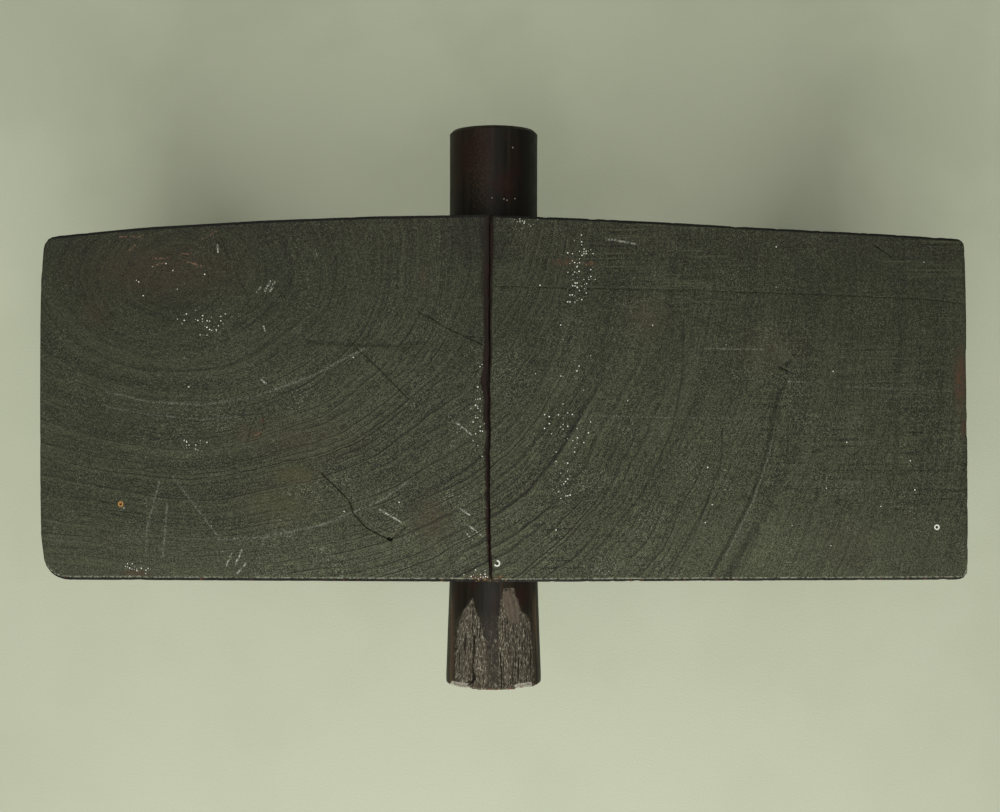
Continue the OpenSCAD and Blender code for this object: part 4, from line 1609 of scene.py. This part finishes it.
def right_cheek() -> Cheek:
    """Lay out the right cheek, whose rings run from front to rear past a knot.

    Returns:
        The cheek, not yet built.
    """
    rings = Rings(pith_x=-62.0, pith_y=127.0, across_y=0.27, bow_y=0.88, sway=8.0, run=(0.3, 1.0, 0.0))
    timber = EbonisedTimber("ebonised_right_timber", rings, saw_pitch=1.0, saw_length=34.0, saw_strength=0.9)
    return Cheek(
        "right_cheek", "right_cheek_timber", Slot.CHEEK, Body.YOKE, timber.material(), seed=2.0,
        side=Side.RIGHT, ease_end=1.1, ease_front=0.8, seam_reach=(3.4, 3.2),
        tooth_by_x=((0, 1.0), (110, 0.95), (150, 0.65), (200, 0.6)),
        checks=(
            *lines(0.6, 0.35,
                   ((121, 1), (119, -9), (117, -20), (110, -40)),
                   ((121, -28), (110.5, -54), (104, -70)), depth=0.15),
            Line(((119.4, 4), (117.4, -5), (115.6, -18), (111.5, -30), (106.5, -43), (94, -66),
                  (89, -74)), 1.6, 0.5, 0.2),
            Line(((110.8, -51), (104, -62), (97.5, -73)), 2.8, 0.4, 0.2),
            Line(((120.9, 17.6), (123.6, 16)), 0.6, 0.9, 0.5),
            Line(((123.2, 19.2), (125, 20.6)), 1.2, 0.5, 0.3),
            Line(((126, 23), (127.3, 23.4)), 0.6, 0.8, 0.4),
            Line(((119.4, 8.4), (120.7, 7.2), (122.4, 8.8)), 0.5, 0.8, 0.4),
            Line(((120.6, 7.6), (119.7, 3.4)), 1.3, 0.6, 0.3),
            Line(((134.5, -19.5), (138, -18)), 0.5, 0.7, 0.2),
            Line(((95.5, -9), (95, -24), (87.5, -44), (72.5, -70)), 0.8, 0.5, 0.15),
            Line(((78.5, 38), (78, 14), (73.5, -10), (61.5, -36), (40, -62)), 0.9, 0.45, 0.15),
            Line(((171, 10.5), (166.5, -10), (155.5, -36), (143.5, -65)), 0.5, 0.2, 0.15),
            Line(((-4, 52.5), (85.6, 50.9), (138, 49.3), (180, 47.6), (201.5, 45.4)), 0.5, 0.4, 0.25),
            Line(((161.5, 70.9), (165, 68.6), (169.2, 65.7)), 0.4, 0.8, 0.5),
            Line(((-5.5, -37), (14, -19), (31, 4), (42, 24)), 0.5, 0.3, 0.2),
        ),
        scratches=(
            *lines(0.4, 0.1, ((26, -3.5), (110, -5)), ((150, 9), (196, 7))),
            Line(((45, 73), (58, 71)), 0.5, 0.5), Line(((123.8, 11.2), (133, 11)), 0.4, 0.25),
            Line(((88, 25.6), (113.4, 25.2)), 0.4, 0.22),
            Line(((117.4, -14), (113.5, -28), (109, -41), (97, -64)), 0.5, 0.16),
        ),
        specks=(
            Patch((33.4, 57.5), (5, 13), 0.34), Patch((26.8, -10), (9, 12), 0.08),
            Patch((31, 24), (6, 20), 0.05), Patch((30.7, -14), (4, 4.5), 0.3),
            Patch((27.4, -35.7), (2.8, 6), 0.3), Patch((9.7, 80), (4, 2.5), 0.4),
            Patch((180, -30), (8, 8), 0.04),
        ),
        rusts=(
            Patch((26.5, 63), (6, 0.9)), Patch((37.5, 62.2), (2.5, 0.8), 0.9), Patch((199.5, 12), (3, 13)),
            Patch((201, -9), (1.5, 4), 0.9), Patch((62, 39), (9, 8), 0.35), Patch((120, 26), (12, 5), 0.22),
            Patch((150, -60), (10, 9), 0.2), Patch((-2, -73.5), (3, 1.6)),
        ),
        stains=(Patch((112, 24), (9, 9), 0.15),),
        chips=(Patch((202.5, 11), (3, 12), 0.9), Patch((202, -9), (3, 3), 0.8)),
        crumbs=(
            Patch((-2, -74), (4, 1.4)), Patch((26.5, 63), (5.5, 0.6), 0.8),
            Patch((37.5, 62.2), (2.5, 0.6), 0.8),
        ),
        dents=(Dent((-2.6, -66.9), 1.1, Mark.BURR, 150, 55), Dent((189, -52.2), 0.9, Mark.BURR)),
        grime=(Patch((-3, 70), (6, 10), 0.3), Patch((4, 40), (10, 14), 0.12)),
        bleached=(
            Patch((112, -58), (46, 12), 0.22), Patch((90, -10), (22, 30), 0.08),
            Patch((123, 24.5), (3, 4), 0.25),
        ),
    )


def dress_fastenings() -> None:
    """Build the pins, wedges and trace pegs, and finish the hidden tenon where it lies."""
    # The pins are cleft and stained, so the stain lies dark in their fibres' hollows.
    pin_oak = CleftWood("stained_oak_pin", "3f3226", "2a2119", "6a5640").material()
    # The wedges are split and left raw, so they stand out pale in the pins' ends.
    wedge_oak = CleftWood("split_oak_wedge", "665038", "4a3826", "8a7050").material()
    # Hands and ropes have rubbed the trace pegs, so they shine more than the pins.
    trace_oak = CleftWood("handled_trace_peg", "2b2620", "1b1712", "4d4336", roughness=0.45).material()
    for side in ("left", "right"):
        for level in ("upper", "lower"):
            pin, wedge = f"{side}_{level}_pin", f"{side}_{level}_wedge"
            cut = {"seed": 3.0 * len(side) + len(level)}
            WorkedPiece(pin, pin + "_oak", Slot.PIN, Body.YOKE, pin_oak, 7, 0.1, 9.0, **cut).build()
            WorkedPiece(wedge, wedge + "_oak", Slot.WEDGE, Body.YOKE, wedge_oak, 5, 0.05, 4.0, **cut).build()
        peg = f"{side}_trace_peg"
        seed = 5.0 * len(side)
        WorkedPiece(peg, peg + "_worn", Slot.PEG, Body.YOKE, trace_oak, 7, 0.2, 12.0, seed).build()
    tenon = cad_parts["crown_tenon"].data
    tenon.materials.clear()
    # The tenon is planed, so its fibres show broad and even.
    planed = CleftWood("planed_oak_tenon", "80624a", "6a4f3a", "a08462", (1.0, 0.0, 0.0), fibre=1.2)
    tenon.materials.append(planed.material())
    log.info("crown_tenon: planed oak")


def main() -> None:
    """Build the studio and every piece of the yoke."""
    logging.basicConfig(level=logging.INFO, format="%(relativeCreated)d ms %(name)s: %(message)s")
    Studio().build()
    left_cheek().build()
    right_cheek().build()
    peg_finish = HandledPeg("handled_black_peg").material()
    CrownPeg("crown_peg", "crown_peg_worn", Slot.PEG, Body.PEG, peg_finish, octree=8, hew=0.08).build()
    dress_fastenings()


if __name__ == "__main__":
    main()
